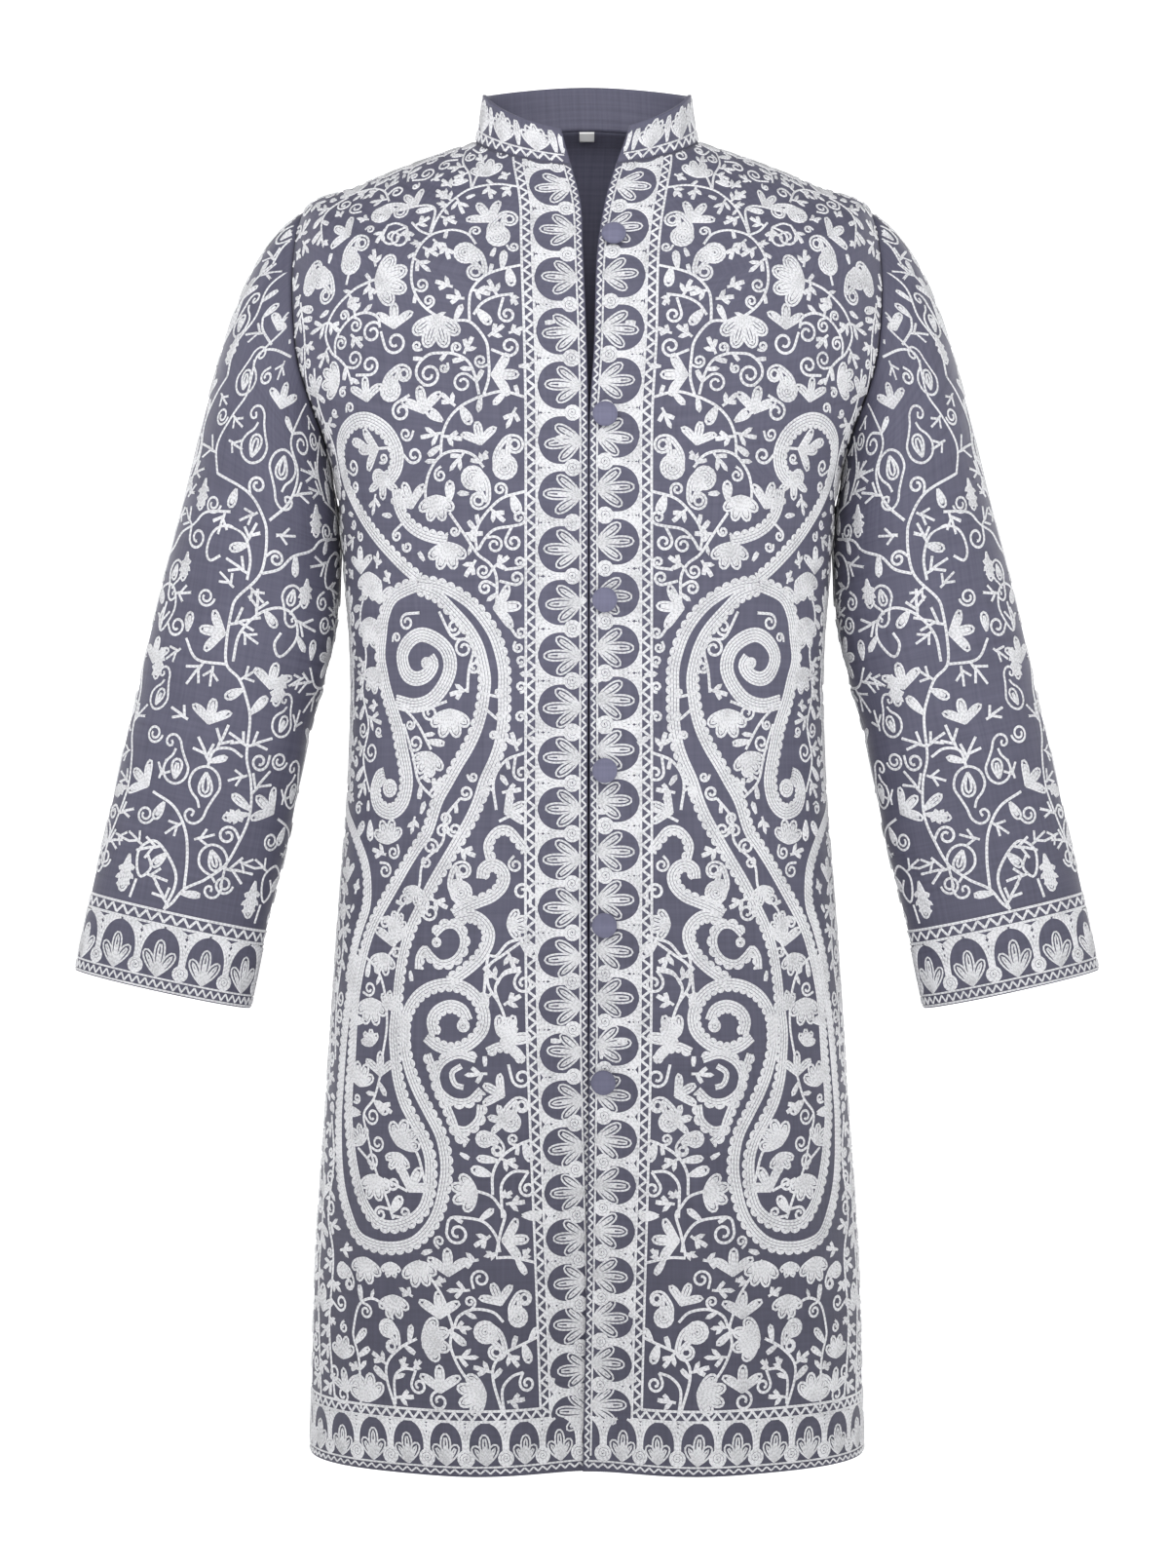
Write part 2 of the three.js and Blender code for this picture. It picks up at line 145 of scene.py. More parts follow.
# ---- The body's form -------------------------------------------------------------------------------------
# The two fronts and the back are cut from one light slubby silk and hang from the shoulders over the same
# form, so they share its level sections: down is the run of the cloth from the neck seam, and turn is the
# angle round the body, 0 at the wearer's left side and a quarter turn at the centre front. A row gives a
# section's heights at its side, centre front and centre back, and its reach to the side, forwards and
# backwards.
BODY = np.array([
    # down   side  front   back   half  fore   aft
    (0,       1,   -24,    19,  80.5,   62,   60),
    (45,    -14,   -52,     4,   124,   80,   80),
    (90,    -31,   -84,   -24,   166,   97,   95),
    (133,   -49,  -118,   -62,   205,  111,  105),
    (225,  -140,  -190,  -155,   219,  123,  114),
    (318,  -236,  -255,  -243,   184,  127,  112),
    (400,  -322,  -322,  -322, 174.5,  121,  104),
    (460,  -382,  -382,  -382, 170.5,  116,   98),
    (540,  -462,  -462,  -462, 172.5,  113,  100),
    (640,  -562,  -562,  -562,   180,  114,  106),
    (760,  -682,  -682,  -682,   188,  115,  111),
    (890,  -812,  -812,  -812, 196.5,  114,  115),
    (1026, -944,  -948,  -947,   200,  112,  117)])
SIDE, FRONT, BACK, HALF, FORE, AFT = range(1, 7)
FULLNESS = 0.06      # how much squarer than an ellipse a section is
HEIGHT_POWER = 1.6   # how a section's height blends from its side to its centre
SHOULDER_TIP, ARMPIT, HEM = 133.0, 318.0, 1026.0  # down: where the armhole starts, where it closes, the hem
ARMHOLE_POWER = 0.6
SEAM_GAP = 0.4
CLOTH = 1.0          # the thickness of the silk as it is modelled
# The skirt's large folds: across, half width, how far each swings out, and where down it starts.
SKIRT_FOLDS = (
    # front     x  width depth from
    (True,     0,   46,   31,  500),
    (True,    92,   34,   -5,  560),
    (True,   -92,   34,   -5,  560),
    (False,  -20,   40,   20,  470),
    (False,   70,   30,   -9,  600),
    (False,  -98,   32,   -8,  560),
)
# Soft creases, listed one by one: where each is (x across, down), which way it runs (0 level, positive rising
# to the wearer's left), its half length, half width, and how far it sinks (or stands, if negative). They fade
# out towards the sides, where the sine of the turn falls under CREASE_FADE.
CREASE_FADE = 0.35
BODY_CREASES = (
    # front     x  down  lean long wide depth
    (True,  -118,  300,  -52,  48,   9,  2.2),
    (True,  -138,  262,  -60,  44,   8, -1.6),
    (True,   121,  296,   50,  50,   9,  2.4),
    (True,   140,  258,   62,  42,   8, -1.8),
    (True,   -96,  372,  -24,  52,  10,  1.6),
    (True,    99,  380,   20,  48,  10,  1.5),
    (True,  -112,  452,    8,  60,  11,  2.0),
    (True,   116,  462,   -7,  58,  11,  2.1),
    (True,   -72,  505,    4,  46,  12, -1.4),
    (True,    76,  512,   -3,  44,  12, -1.3),
    (True,  -138,  640,   84,  90,  12,  2.4),
    (True,   142,  655,  -85,  96,  12,  2.2),
    (True,   -66,  760,   87, 120,  13,  1.8),
    (True,    62,  780,  -88, 110,  12,  1.6),
    (True,  -150,  860,   82,  90,  12, -2.0),
    (True,   152,  850,  -83,  95,  12, -2.2),
    (True,   -60,   70,   30,  40,   9,  1.2),
    (True,    64,   74,  -34,  42,   9,  1.1),
    (False,  -96,  290,   42,  60,  11,  2.6),
    (False,  102,  300,  -40,  62,  11,  2.4),
    (False,  -30,  430,    4,  80,  13,  2.2),
    (False,   60,  470,   -6,  70,  13,  2.0),
    (False,  -86,  500,   10,  60,  12,  1.8),
    (False,  118,  660,  -84, 110,  14,  2.2),
    (False, -140,  700,   85, 120,  14,  2.4),
    (False,   20,  800,   89, 130,  15, -2.0),
)


def through(table, column, at):
    """A smooth curve through one column of a table, read at places along its first column: cubic pieces whose
    slope at each row is that between the rows on either side of it."""
    x, y = table[:, 0], table[:, column]
    slope = np.gradient(y, x)
    slope[1:-1] = (y[2:] - y[:-2]) / (x[2:] - x[:-2])
    i = np.clip(np.searchsorted(x, at, side="right") - 1, 0, len(x) - 2)
    span = x[i + 1] - x[i]
    u = np.clip((at - x[i]) / span, 0, 1)
    ease = u * u * (3 - 2 * u)
    bow = u * (1 - u) ** 2 * slope[i] - u * u * (1 - u) * slope[i + 1]
    return y[i] + (y[i + 1] - y[i]) * ease + span * bow


def smooth(low, high, at):
    """0 up to low, 1 from high on, and the smooth step 3u² - 2u³ between them."""
    u = np.clip((at - low) / (high - low), 0, 1)
    return u * u * (3 - 2 * u)


def body_point(down, turn):
    """A point of the body's outer face: an ellipse squared a little at its corners, at heights that blend
    from side to centre, with the skirt's folds and then the creases added as bell-shaped swings of the
    cloth."""
    down, turn = np.broadcast_arrays(np.asarray(down, float), np.asarray(turn, float))
    c, s = np.cos(turn), np.sin(turn)
    full = 1 + FULLNESS * (2 * s * c) ** 2
    columns = (SIDE, FRONT, BACK, HALF, FORE, AFT)
    side, front, back, half, fore, aft = (through(BODY, column, down) for column in columns)
    ahead = s > 0
    x = half * c * full
    y = -np.where(ahead, fore, aft) * s * full
    z = side + (np.where(ahead, front, back) - side) * np.abs(s) ** HEIGHT_POWER
    for on_front, at, width, depth, start in SKIRT_FOLDS:
        swing = depth * smooth(start, HEM, down) * np.exp(-(((x - at) / width) ** 2)) * s * np.abs(s)
        y = y + np.where(ahead == on_front, swing, 0)
    dent = np.zeros_like(x)
    for on_front, at, at_down, lean, long, wide, depth in BODY_CREASES:
        a = math.radians(lean)
        along = (x - at) * math.cos(a) - (down - at_down) * math.sin(a)
        across = (x - at) * math.sin(a) + (down - at_down) * math.cos(a)
        bell = depth * np.exp(-((along / long) ** 2) - (across / wide) ** 2)
        dent = dent + np.where(ahead == on_front, bell * smooth(0, CREASE_FADE, np.abs(s)), 0)
    return np.stack([x - dent * c, y + dent * s, z], -1)


def armhole_turn(down, most):
    """How far round the body the armhole cuts in: its most, times a sine bow to a power."""
    u = np.clip((down - SHOULDER_TIP) / (ARMPIT - SHOULDER_TIP), 0, 1)
    return most * np.sin(np.pi * u) ** ARMHOLE_POWER


def unit(v):
    """Vectors along the last axis, scaled to length one."""
    return v / np.maximum(np.linalg.norm(v, axis=-1, keepdims=True), 1e-12)


def outward(point, a, b, step_a, step_b):
    """A surface's normal at a, b, from the cross product of its two small steps; its sign follows theirs."""
    along_a = point(a + step_a, b) - point(a - step_a, b)
    along_b = point(a, b + step_b) - point(a, b - step_b)
    return unit(np.cross(along_a, along_b))


DOWN_STEP, TURN_STEP = 0.5, 0.003  # the small steps down the body, in millimetres, and round it, in radians


def cloth_shell(name, outer, normal, thickness, uv, material):
    """One closed body from a grid of outer points: the outer face, the same points moved inwards, and a
    rim."""
    high, wide = outer.shape[:2]
    count = high * wide
    inner = outer - normal * thickness
    points = np.concatenate([outer.reshape(-1, 3), inner.reshape(-1, 3)]) * MM
    front = grid_faces(high, wide)
    at = np.arange(count).reshape(high, wide)
    edges = ((at[0, :-1], at[0, 1:]), (at[-1, 1:], at[-1, :-1]),
             (at[1:, 0], at[:-1, 0]), (at[:-1, -1], at[1:, -1]))
    rim = [np.stack([this, following, following + count, this + count], -1) for this, following in edges]
    faces = np.concatenate([front, front[:, ::-1] + count, *rim])
    piece = mesh_piece(name, points, faces, material, np.concatenate([uv.reshape(-1, 2)] * 2))
    polygons = piece.data.polygons
    polygons.foreach_set("use_smooth", np.arange(len(polygons)) < 2 * len(front))
    return piece


# The rows of a panel's grid, down the body: they lie closest together at the two ends of the armhole.
LEVELS = np.concatenate([
    np.linspace(0, SHOULDER_TIP, 26)[:-1],
    SHOULDER_TIP + (ARMPIT - SHOULDER_TIP) * (1 - np.cos(np.linspace(0, np.pi, 42))) / 2,
    np.linspace(ARMPIT, HEM, 90)[1:],
])


def nodes_of(material):
    """The material's node tree, its shader, and a short way to add a node with its inputs and settings."""
    tree = material.node_tree

    def add(kind, inputs=(), **settings):
        node = tree.nodes.new(kind)
        for key, value in settings.items():
            setattr(node, key, value)
        for key, value in dict(inputs).items():
            if isinstance(value, bpy.types.NodeSocket):
                tree.links.new(value, node.inputs[key])
            else:
                node.inputs[key].default_value = value
        return node

    return tree, tree.nodes["Principled BSDF"], add


def slub_silk(name, colour, darker, lighter):
    """Plain-woven silk: level and upright slubs as noise drawn out along the two threads, with a fine weave
    in the bump under them, faint patches of uneven dye, and a soft sheen. Its colour also carries painted
    light and shade: lighter higher up, over the chest, shoulders and collar, and darker towards the hem."""
    material = plain_material(name, colour, 0.55)
    tree, shader, add = nodes_of(material)
    place = add("ShaderNodeUVMap", uv_map="cloth").outputs["UV"]
    slubs = []
    for scale in ((9, 330, 1), (420, 12, 1)):  # to the metre, across and down
        drawn = add("ShaderNodeMapping", {"Vector": place, "Scale": scale}).outputs["Vector"]
        slubs.append(add("ShaderNodeTexNoise", {"Vector": drawn, "Scale": 1.0, "Detail": 3.0}).outputs["Fac"])
    both = add("ShaderNodeMath", {0: slubs[0], 1: slubs[1]}, operation="ADD").outputs[0]
    # Painted light and shade by height: the colour is lightened higher up and darkened towards the hem.
    height_at = add("ShaderNodeSeparateXYZ", {0: add("ShaderNodeTexCoord").outputs["Object"]}).outputs["Z"]
    painted_falloff = add("ShaderNodeMapRange", {"Value": height_at, "From Min": -0.85, "From Max": -0.38,
                                        "To Min": 0.83, "To Max": 1.32}).outputs["Result"]
    dye = add("ShaderNodeTexNoise", {"Vector": place, "Scale": 14.0, "Detail": 2.0}).outputs["Fac"]
    level = add("ShaderNodeMath", {0: dye, 1: 0.35, 2: both}, operation="MULTIPLY_ADD").outputs[0]
    shade = add("ShaderNodeMapRange", {"Value": level, "From Min": 0.74, "From Max": 1.6}).outputs["Result"]
    ramp = add("ShaderNodeMix", {"Factor": shade}, data_type="RGBA")
    ramp.inputs["A"].default_value = (*darker, 1)
    ramp.inputs["B"].default_value = (*lighter, 1)
    dyed = add("ShaderNodeVectorMath", {0: ramp.outputs["Result"], "Scale": painted_falloff}, operation="SCALE")
    tree.links.new(dyed.outputs[0], shader.inputs["Base Color"])
    weave_place = add("ShaderNodeMapping", {"Vector": place, "Scale": (1500, 1500, 1)}).outputs["Vector"]
    weave = add("ShaderNodeTexChecker", {"Vector": weave_place, "Scale": 1.0}).outputs["Fac"]
    height = add("ShaderNodeMath", {0: weave, 1: 0.25, 2: both}, operation="MULTIPLY_ADD").outputs[0]
    bump = add("ShaderNodeBump", {"Strength": 0.35, "Distance": 0.0004, "Height": height})
    tree.links.new(bump.outputs["Normal"], shader.inputs["Normal"])
    shader.inputs["Sheen Weight"].default_value = 0.08
    shader.inputs["Sheen Roughness"].default_value = 0.35
    shader.inputs["Specular IOR Level"].default_value = 0.25
    return material


silk = slub_silk("slate_silk", colour=(0.075, 0.074, 0.102), darker=(0.056, 0.055, 0.082),
                 lighter=(0.090, 0.089, 0.129))


# ---- The back --------------------------------------------------------------------------------------------
# One piece of silk from side seam to side seam, plain inside, with the same embroidery outside as the
# fronts. It is joined to the fronts along the shoulders and sides by plain seams.
ARMHOLE_BACK = 0.35  # the most that the armhole cuts into it, in radians round the body
BACK_COLUMNS = 72


def back_point(down, across):
    """The back: across runs evenly round the body from its left armhole or side (0) to the right ones (1)."""
    outer = armhole_turn(down, ARMHOLE_BACK) + SEAM_GAP / 2 / through(BODY, AFT, down)
    return body_point(down, (2 * np.pi - outer) * (1 - across) + (np.pi + outer) * across)


def run_along(points, axis):
    """How far the cloth runs along one way of a grid of points, from 0: the sum of the steps up to each."""
    return np.insert(np.cumsum(np.linalg.norm(np.diff(points, axis=axis), axis=-1), axis), 0, 0, axis)


def cloth_uv(points):
    """UV in metres of cloth: across from the middle of each row, and down from the first row."""
    across, down = run_along(points, 1), run_along(points, 0).mean(1)
    middle = across[:, across.shape[1] // 2][:, None]
    return np.stack([across - middle, np.broadcast_to(down[:, None], across.shape)], -1) * MM


ACROSS_STEP = 0.005  # the small step across a panel, as a share of its width


def torso_panel(name, point, columns, turn_sign, node):
    """A panel of the body sampled on the levels and columns. turn_sign is 1 where across runs against the
    turn, or -1 where it runs with it, so that the panel always points outwards."""
    rows, across = np.meshgrid(LEVELS, columns, indexing="ij")
    outer = point(rows, across)
    inside = np.clip(rows, DOWN_STEP, HEM - DOWN_STEP), np.clip(across, ACROSS_STEP, 1 - ACROSS_STEP)
    normal = outward(point, *inside, DOWN_STEP, ACROSS_STEP * turn_sign)
    if turn_sign < 0:
        outer, normal = outer[:, ::-1], normal[:, ::-1]
    piece = cloth_shell(name, outer, normal, CLOTH, cloth_uv(outer), silk)
    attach(piece, "root")
    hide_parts(node)
    return piece


back = torso_panel("silk_back", back_point, np.linspace(0, 1, BACK_COLUMNS), 1, "back")

# ---- The fronts ------------------------------------------------------------------------------------------
# Two panels of the same silk, cut as one pair. They meet edge to edge down the middle between the buttons,
# stand open at the throat, and lap left over right towards the hem.
ARMHOLE_FRONT = 0.4  # the most that the armhole cuts into one, in radians round the body
# Where the two free edges run, across from the middle.
FRONT_EDGE = np.array([
    # down   left   right
    (0,      20.5,  -11.5),
    (48,     12.5,   -4.5),
    (100,       7,   -2.8),
    (180,       5,   -0.4),
    (252,     1.9,    0.7),
    (400,     1.7,    0.7),
    (700,     1.6,    0.8),
    (890,    -0.6,      5),
    (1026,     -3,      9)])
LAP_LIFT = {"left": 1.4, "right": -2.2}  # how far each stands off the body's form where they lap
LAP_FROM, LAP_FULL, LAP_WIDE = 640, 780, 34  # down where the lap starts and is full, and its width


def edge_across(down, panel):
    """How far across from the middle a front's free edge is."""
    return through(FRONT_EDGE, 1 if panel == "left" else 2, down)


def edge_turn(down, panel):
    """The turn round the body at which that is."""
    return np.arccos(edge_across(down, panel) / through(BODY, HALF, down))


def front_at(panel, down, turn):
    """A front's point at a turn round the body, lifted or sunk beside its edge where the fronts lap."""
    p = body_point(down, turn)
    beside_edge = 1 - smooth(0, LAP_WIDE, np.abs(p[..., 0] - edge_across(down, panel)))
    lift = LAP_LIFT[panel] * smooth(LAP_FROM, LAP_FULL, down) * beside_edge * (np.sin(turn) > 0)
    return p - lift[..., None] * np.array([0, 1, 0])


def front_point(panel):
    """The front's point function: across runs from its armhole or side (0) to its free edge (1)."""
    def point(down, across):
        outer = armhole_turn(down, ARMHOLE_FRONT) + SEAM_GAP / 2 / through(BODY, FORE, down)
        start = outer if panel == "left" else np.pi - outer
        return front_at(panel, down, start * (1 - across) + edge_turn(down, panel) * across)
    return point


FRONT_COLUMNS = 1 - (1 - np.linspace(0, 1, 46)) ** 1.35  # closer together towards the free edge
for side, turn_sign in (("right", 1), ("left", -1)):
    torso_panel("silk_front_" + side, front_point(side), FRONT_COLUMNS, turn_sign,
                               "front_" + side)

# ---- The embroidery --------------------------------------------------------------------------------------
# Ivory thread in hooked chain stitch, laid in rows 1.3 to 2 mm wide: single rows make stems, and rows
# worked side by side fill flowers, leaves and bands. Every motif is drawn flat in millimetres of cloth,
# then laid on the panel: s runs across from the panel's own edge and t down the cloth.
ROW, FINE_ROW, STOUT_ROW = 1.8, 1.3, 2.0  # the width of a row
PITCH = 2.12      # from one row to the next where they fill a shape
STEP = 2.3        # between the points of a row


def respaced(q, step=STEP):
    """The same line with its points evenly spaced, about step apart."""
    run = np.concatenate([[0], np.cumsum(np.hypot(*np.diff(q, axis=0).T))])
    at = np.linspace(0, run[-1], max(2, int(round(run[-1] / step)) + 1))
    return np.stack([np.interp(at, run, q[:, 0]), np.interp(at, run, q[:, 1])], 1)


def path(points, step=STEP):
    """A smooth line through a few points: between two of them a cubic whose slopes follow their
    neighbours."""
    pieces = 12
    p = np.asarray(points, float)
    if len(p) == 2:
        return respaced(p, step)
    e = np.vstack([2 * p[:1] - p[1:2], p, 2 * p[-1:] - p[-2:-1]])
    count = len(e) - 3
    u = np.tile(np.linspace(0, 1, pieces, endpoint=False), count)[:, None]
    i = np.repeat(np.arange(count), pieces)
    a, b, c, d = e[i], e[i + 1], e[i + 2], e[i + 3]
    q = b + 0.5 * u * (c - a + u * (2 * a - 5 * b + 4 * c - d + u * (3 * b - a - 3 * c + d)))
    return respaced(np.vstack([q, e[-2]]), step)


def beside(q, off):
    """A line moved sideways by off, which may vary along it: each point goes along the line's normal
    there."""
    d = np.gradient(q, axis=0)
    d /= np.maximum(np.hypot(d[:, 0], d[:, 1]), 1e-9)[:, None]
    return q + np.stack([-d[:, 1], d[:, 0]], 1) * np.broadcast_to(off, len(q))[:, None]


def turned(rows, turn, x=0.0, y=0.0):
    """Rows turned clockwise about the motif's root and then moved."""
    a = math.radians(turn)
    spin = np.array([[math.cos(a), -math.sin(a)], [math.sin(a), math.cos(a)]])
    return [q @ spin + [x, y] for q in rows]


def placed(rows, s, t, turn=0.0, flip=False):
    """A motif, drawn upwards from its root, put on the cloth at s, t and leaning by turn towards larger s."""
    flipped = [q * [-1, 1] for q in rows] if flip else rows
    return [np.stack([q[:, 0] + s, t - q[:, 1]], 1) for q in turned(flipped, turn)]


def petal(length, width, bend=0.0, rows=9, gap=PITCH):
    """Nested loops from one root, each a gap inside the last, and a straight row where no loop fits: along is
    the length times (1 - cos) / 2, and side is 0.65 times the width times sin times the sine of half the
    angle. bend carries the tip sideways, as the square of the way along."""
    shortest = 3
    phi = np.linspace(0, 2 * np.pi, 22)
    out = []
    for k in range(rows):
        w, l = width - ROW - 2 * k * gap, length - ROW / 2 - k * gap
        if l < shortest:
            break
        if w < 0.4 * gap:
            if w > -gap:
                y = np.linspace(0.25 * l, l, 4)
                out.append(np.stack([bend * (y / length) ** 2 * length, y], 1))
            break
        y = l * (1 - np.cos(phi)) / 2
        x = 0.65 * w * np.sin(phi) * np.sin(phi / 2)
        out.append(respaced(np.stack([x + bend * (y / length) ** 2 * length, y], 1)))
    return out


def palmette(length, lean, share):
    """The border's flower: three open petals from one point, each two loops round a straight row, with short
    rows between them at the root."""
    out = []
    for angle, long, width in ((-lean, share * length, 8.4), (lean, share * length, 8.4), (0, length, 9.0)):
        out += turned(petal(long, width, gap=2.35, rows=2), angle)
        out += turned([np.array([[0, 2.0], [0, 0.6 * long]])], angle)
    for angle, long in ((-1.55 * lean, 0.3), (-lean / 2, 0.46), (lean / 2, 0.46), (1.55 * lean, 0.3)):
        out += turned([np.array([[0, 0.5], [0, length * long]])], angle)
    return out


def ball(radius):
    """A filled round: one row that goes once round and then winds in, its radius falling evenly with the
    angle."""
    turns_in = (radius - ROW / 2) / PITCH
    a = np.linspace(0, 2 * np.pi * (1 + turns_in), int(13 * (1 + turns_in)))
    r = (radius - ROW / 2) * np.clip(1 - (a - 2 * np.pi) / (2 * np.pi * turns_in), 0, 1) + 0.2
    return [np.stack([r * np.cos(a), r * np.sin(a)], 1)]


def fan(size, lobes=4, spread=52.0):
    """A solid flower seen from the side: filled petals fanned round one root, the outer ones a little
    shorter."""
    out = []
    for angle in np.linspace(-spread, spread, lobes):
        length = size * (1 - 0.16 * abs(angle) / spread)
        out += turned(petal(length, size * 1.7 / lobes), angle)
    return out


def lily(size):
    """A solid flower of three pointed petals, the outer two curling away."""
    side = petal(size * 0.95, size * 0.37, bend=0.3)
    return turned(side, 35) + turned([q * [-1, 1] for q in side], -35) + petal(size, size * 0.39)


def sprig(size, looped):
    """Three small fingers on a stalk, each one narrow loop of stitching or a single row."""
    out = [np.array([[0, 0], [0.03 * size, 0.25 * size], [0, 0.45 * size]])]
    for angle, share, root in ((-50, 0.52, 0.22), (4, 0.58, 0.42), (44, 0.54, 0.3)):
        finger = petal(share * size, 3.3, rows=1) if looped else [np.array([[0, 0], [0, share * size]])]
        out += turned(finger, angle, 0, root * size)
    return out


def ragged_leaf(size):
    """A solid leaf with short fingers along both its sides."""
    out = petal(size, size * 0.36)
    for angle, share, root in ((64, 0.3, 0.24), (56, 0.34, 0.42), (44, 0.3, 0.6)):
        finger = petal(share * size, 3.8, rows=2)
        out += turned(finger, angle, 0, root * size) + turned(finger, -angle, 0, (root + 0.06) * size)
    return out


CURL_TURNS = 1.3


def curl(radius, turns=CURL_TURNS, lead=0.0):
    """A tendril: a stalk of length lead that runs into a spiral whose radius falls to under a third."""
    a = np.linspace(0, 2 * np.pi * turns, int(20 * turns) + 2)
    r = radius * (1 - 0.7 * a / a[-1])
    spiral = np.stack([radius - r * np.cos(a), lead + r * np.sin(a)], 1)
    start = [[0, 0]] if lead > 1 else []
    return [respaced(np.vstack([*start, spiral]) if start else spiral, 1.8)]


def teardrop(size):
    """A solid paisley: a filled ball, and rows that run from it along both sides of a spine into a spiral
    with a small bare eye. The half width falls from the ball's radius to that of a thick row."""
    bulb, most_rows = 0.27 * size, 4
    a = np.radians(np.linspace(172, -165, 26))
    r = size * np.linspace(0.185, 0.1, 26)
    ring = np.stack([0.15 * size + r * np.cos(a), 0.75 * size + r * np.sin(a)], 1)
    rise = path([(0, 0.3 * size), (-0.09 * size, 0.46 * size), (-0.08 * size, 0.62 * size), ring[0]])
    spine = respaced(np.vstack([rise[:-1], ring]), 2.0)
    u = np.linspace(0, 1, len(spine))
    half = size * (0.06 + 0.03 * (1 - u) + 0.17 * np.clip(1 - u / 0.55, 0, 1) ** 1.1)
    out = [q + [0, bulb] for q in ball(bulb)]
    for k in range(most_rows):
        off = half - ROW / 2 - k * PITCH
        n = int((off > -0.3).sum())
        if n > 2:
            out += [beside(spine, off)[:n], beside(spine, -off)[:n]]
    return out


def leaf_paisley(size):
    """An open paisley: one row from a small spiral over its back and round its bulb to the neck, a looped
    leaf inside."""
    outline = np.array([(0.1, 0.86), (0.07, 0.78), (0.15, 0.75), (0.21, 0.84), (0.15, 0.95), (0.02, 0.97),
                        (-0.09, 0.86), (-0.13, 0.69), (-0.2, 0.5), (-0.27, 0.3), (-0.19, 0.09), (0.0, 0.0),
                        (0.19, 0.1), (0.25, 0.3), (0.18, 0.46), (0.06, 0.57), (0.0, 0.7)])
    inside = petal(0.42 * size, 0.26 * size, rows=2, gap=2.6)
    return [path(outline * size, 2.0)] + turned(inside, -8, 0.0, 0.1 * size)


SCALLOP_WIDE, SCALLOP_HIGH, SCALLOP_STEP = 6.5, 2.6, 1.3


def band(points, rows, scallop):
    """Rows side by side along a line, and filled scallops on one side (1 or -1, or 0 for none): a row that
    swings out as a sine's size to the power 0.7, and one inside it that swings less."""
    q = path(points)
    out = [beside(q, (k - (rows - 1) / 2) * PITCH) for k in range(rows)]
    if scallop:
        half = rows * PITCH / 2
        fine = respaced(q, SCALLOP_STEP)
        run = np.linspace(0, 1, len(fine)) * SCALLOP_STEP * (len(fine) - 1)
        swing = SCALLOP_HIGH * np.abs(np.sin(np.pi * run / SCALLOP_WIDE)) ** 0.7
        out += [beside(fine, scallop * (half + swing)), beside(fine, scallop * (half + 0.4 + 0.3 * swing))]
    return out


def zigzag(points, wide, pitch):
    """Straight stitches to and fro across a line."""
    q = path(points, step=pitch / 2)
    q = beside(q, np.where(np.arange(len(q)) % 2, wide / 2, -wide / 2))
    return [q[i:i + 2] for i in range(len(q) - 1)]


PILLAR_FOOT, PILLAR_STRAIGHT = 2.4, 4.4  # the half width of its foot, and how far up that goes


def pillar(half, reach, oval):
    """The solid ground between two dark ovals: rows that follow the ovals' sides from a narrow foot until
    they fill the whole spacing, nested inwards until they meet."""
    x = np.linspace(0, reach, 17)
    bow = np.sqrt(np.clip(1 - ((x - PILLAR_STRAIGHT) / oval) ** 2, 0, 1)) * (x < PILLAR_STRAIGHT + oval)
    width = half - (half - PILLAR_FOOT) * bow
    width[x < PILLAR_STRAIGHT] = PILLAR_FOOT
    out = []
    for k in range(int(half / PITCH) + 2):
        side = width - ROW / 2 - k * PITCH + 0.15
        keep = side > -0.5
        if keep.sum() < 3:
            break
        for sign in (1, -1):
            out.append(respaced(np.stack([sign * np.maximum(side, 0)[keep], x[keep]], 1)))
    return out


BORDER_BALL = 5.9


def border(centres, along, depth_at, rng, closed=True):
    """One band of the border, as its fine rows and its full rows. centres are the places of its palmettes
    along it; along turns a place along the band and a depth in from the edge of the cloth into s, t; depth_at
    gives the depths where the pieces of its pattern stand, and their sizes. No two palmettes are quite the
    same size or lean. An open band has no pillar after its last palmette."""
    def lay(rows, c, root):
        return [np.stack(along(c + q[:, 0], root + q[:, 1]), 1) for q in rows]
    fine, full = [], []
    gaps = np.diff(centres)
    middles = (centres[1:] + centres[:-1]) / 2
    middles = np.concatenate([[centres[0] - gaps[0] / 2], middles, [centres[-1] + gaps[-1] / 2]])
    gaps = np.concatenate([[gaps[0]], gaps, [gaps[-1]]])
    for c in centres:
        flower = palmette(depth_at["length"] * rng.uniform(0.94, 1.04), depth_at["lean"], depth_at["share"])
        flower = turned(flower, rng.normal(0, 3.5))
        fine += lay(flower, c, depth_at["palmette"])
    for c, gap in zip(middles if closed else middles[:-1], gaps):
        full += lay(ball(BORDER_BALL * rng.uniform(0.94, 1.04)), c, depth_at["ball"])
        full += lay(pillar(gap / 2 - 0.2, depth_at["reach"], depth_at["oval"]), c, depth_at["pillar"])
    return fine, full


class Occupied:
    """A map of which small squares of a panel already hold stitching."""
    CELL = 1.6

    def __init__(self, s_from, t_from, width, height):
        self.origin = np.array([s_from, t_from], float)
        self.taken = np.zeros((int(width / self.CELL) + 1, int(height / self.CELL) + 1), bool)

    def cells(self, rows):
        at = ((np.vstack(rows) - self.origin) / self.CELL).astype(int)
        return at[:, 0].clip(0, self.taken.shape[0] - 1), at[:, 1].clip(0, self.taken.shape[1] - 1)

    def add(self, rows):
        """Marks the squares that the rows touch, and the eight round each."""
        i, j = self.cells(rows)
        wide, high = self.taken.shape
        for a in (-1, 0, 1):
            for b in (-1, 0, 1):
                self.taken[(i + a).clip(0, wide - 1), (j + b).clip(0, high - 1)] = True

    def free(self, rows, skip=0.0):
        """True if no point further than skip from the motif's root lies on a taken square."""
        points = np.vstack(rows)
        if skip:
            far = np.hypot(*(points - points[0]).T) > skip
            points = points[far] if far.any() else points
        i, j = self.cells([points])
        return not self.taken[i, j].any()


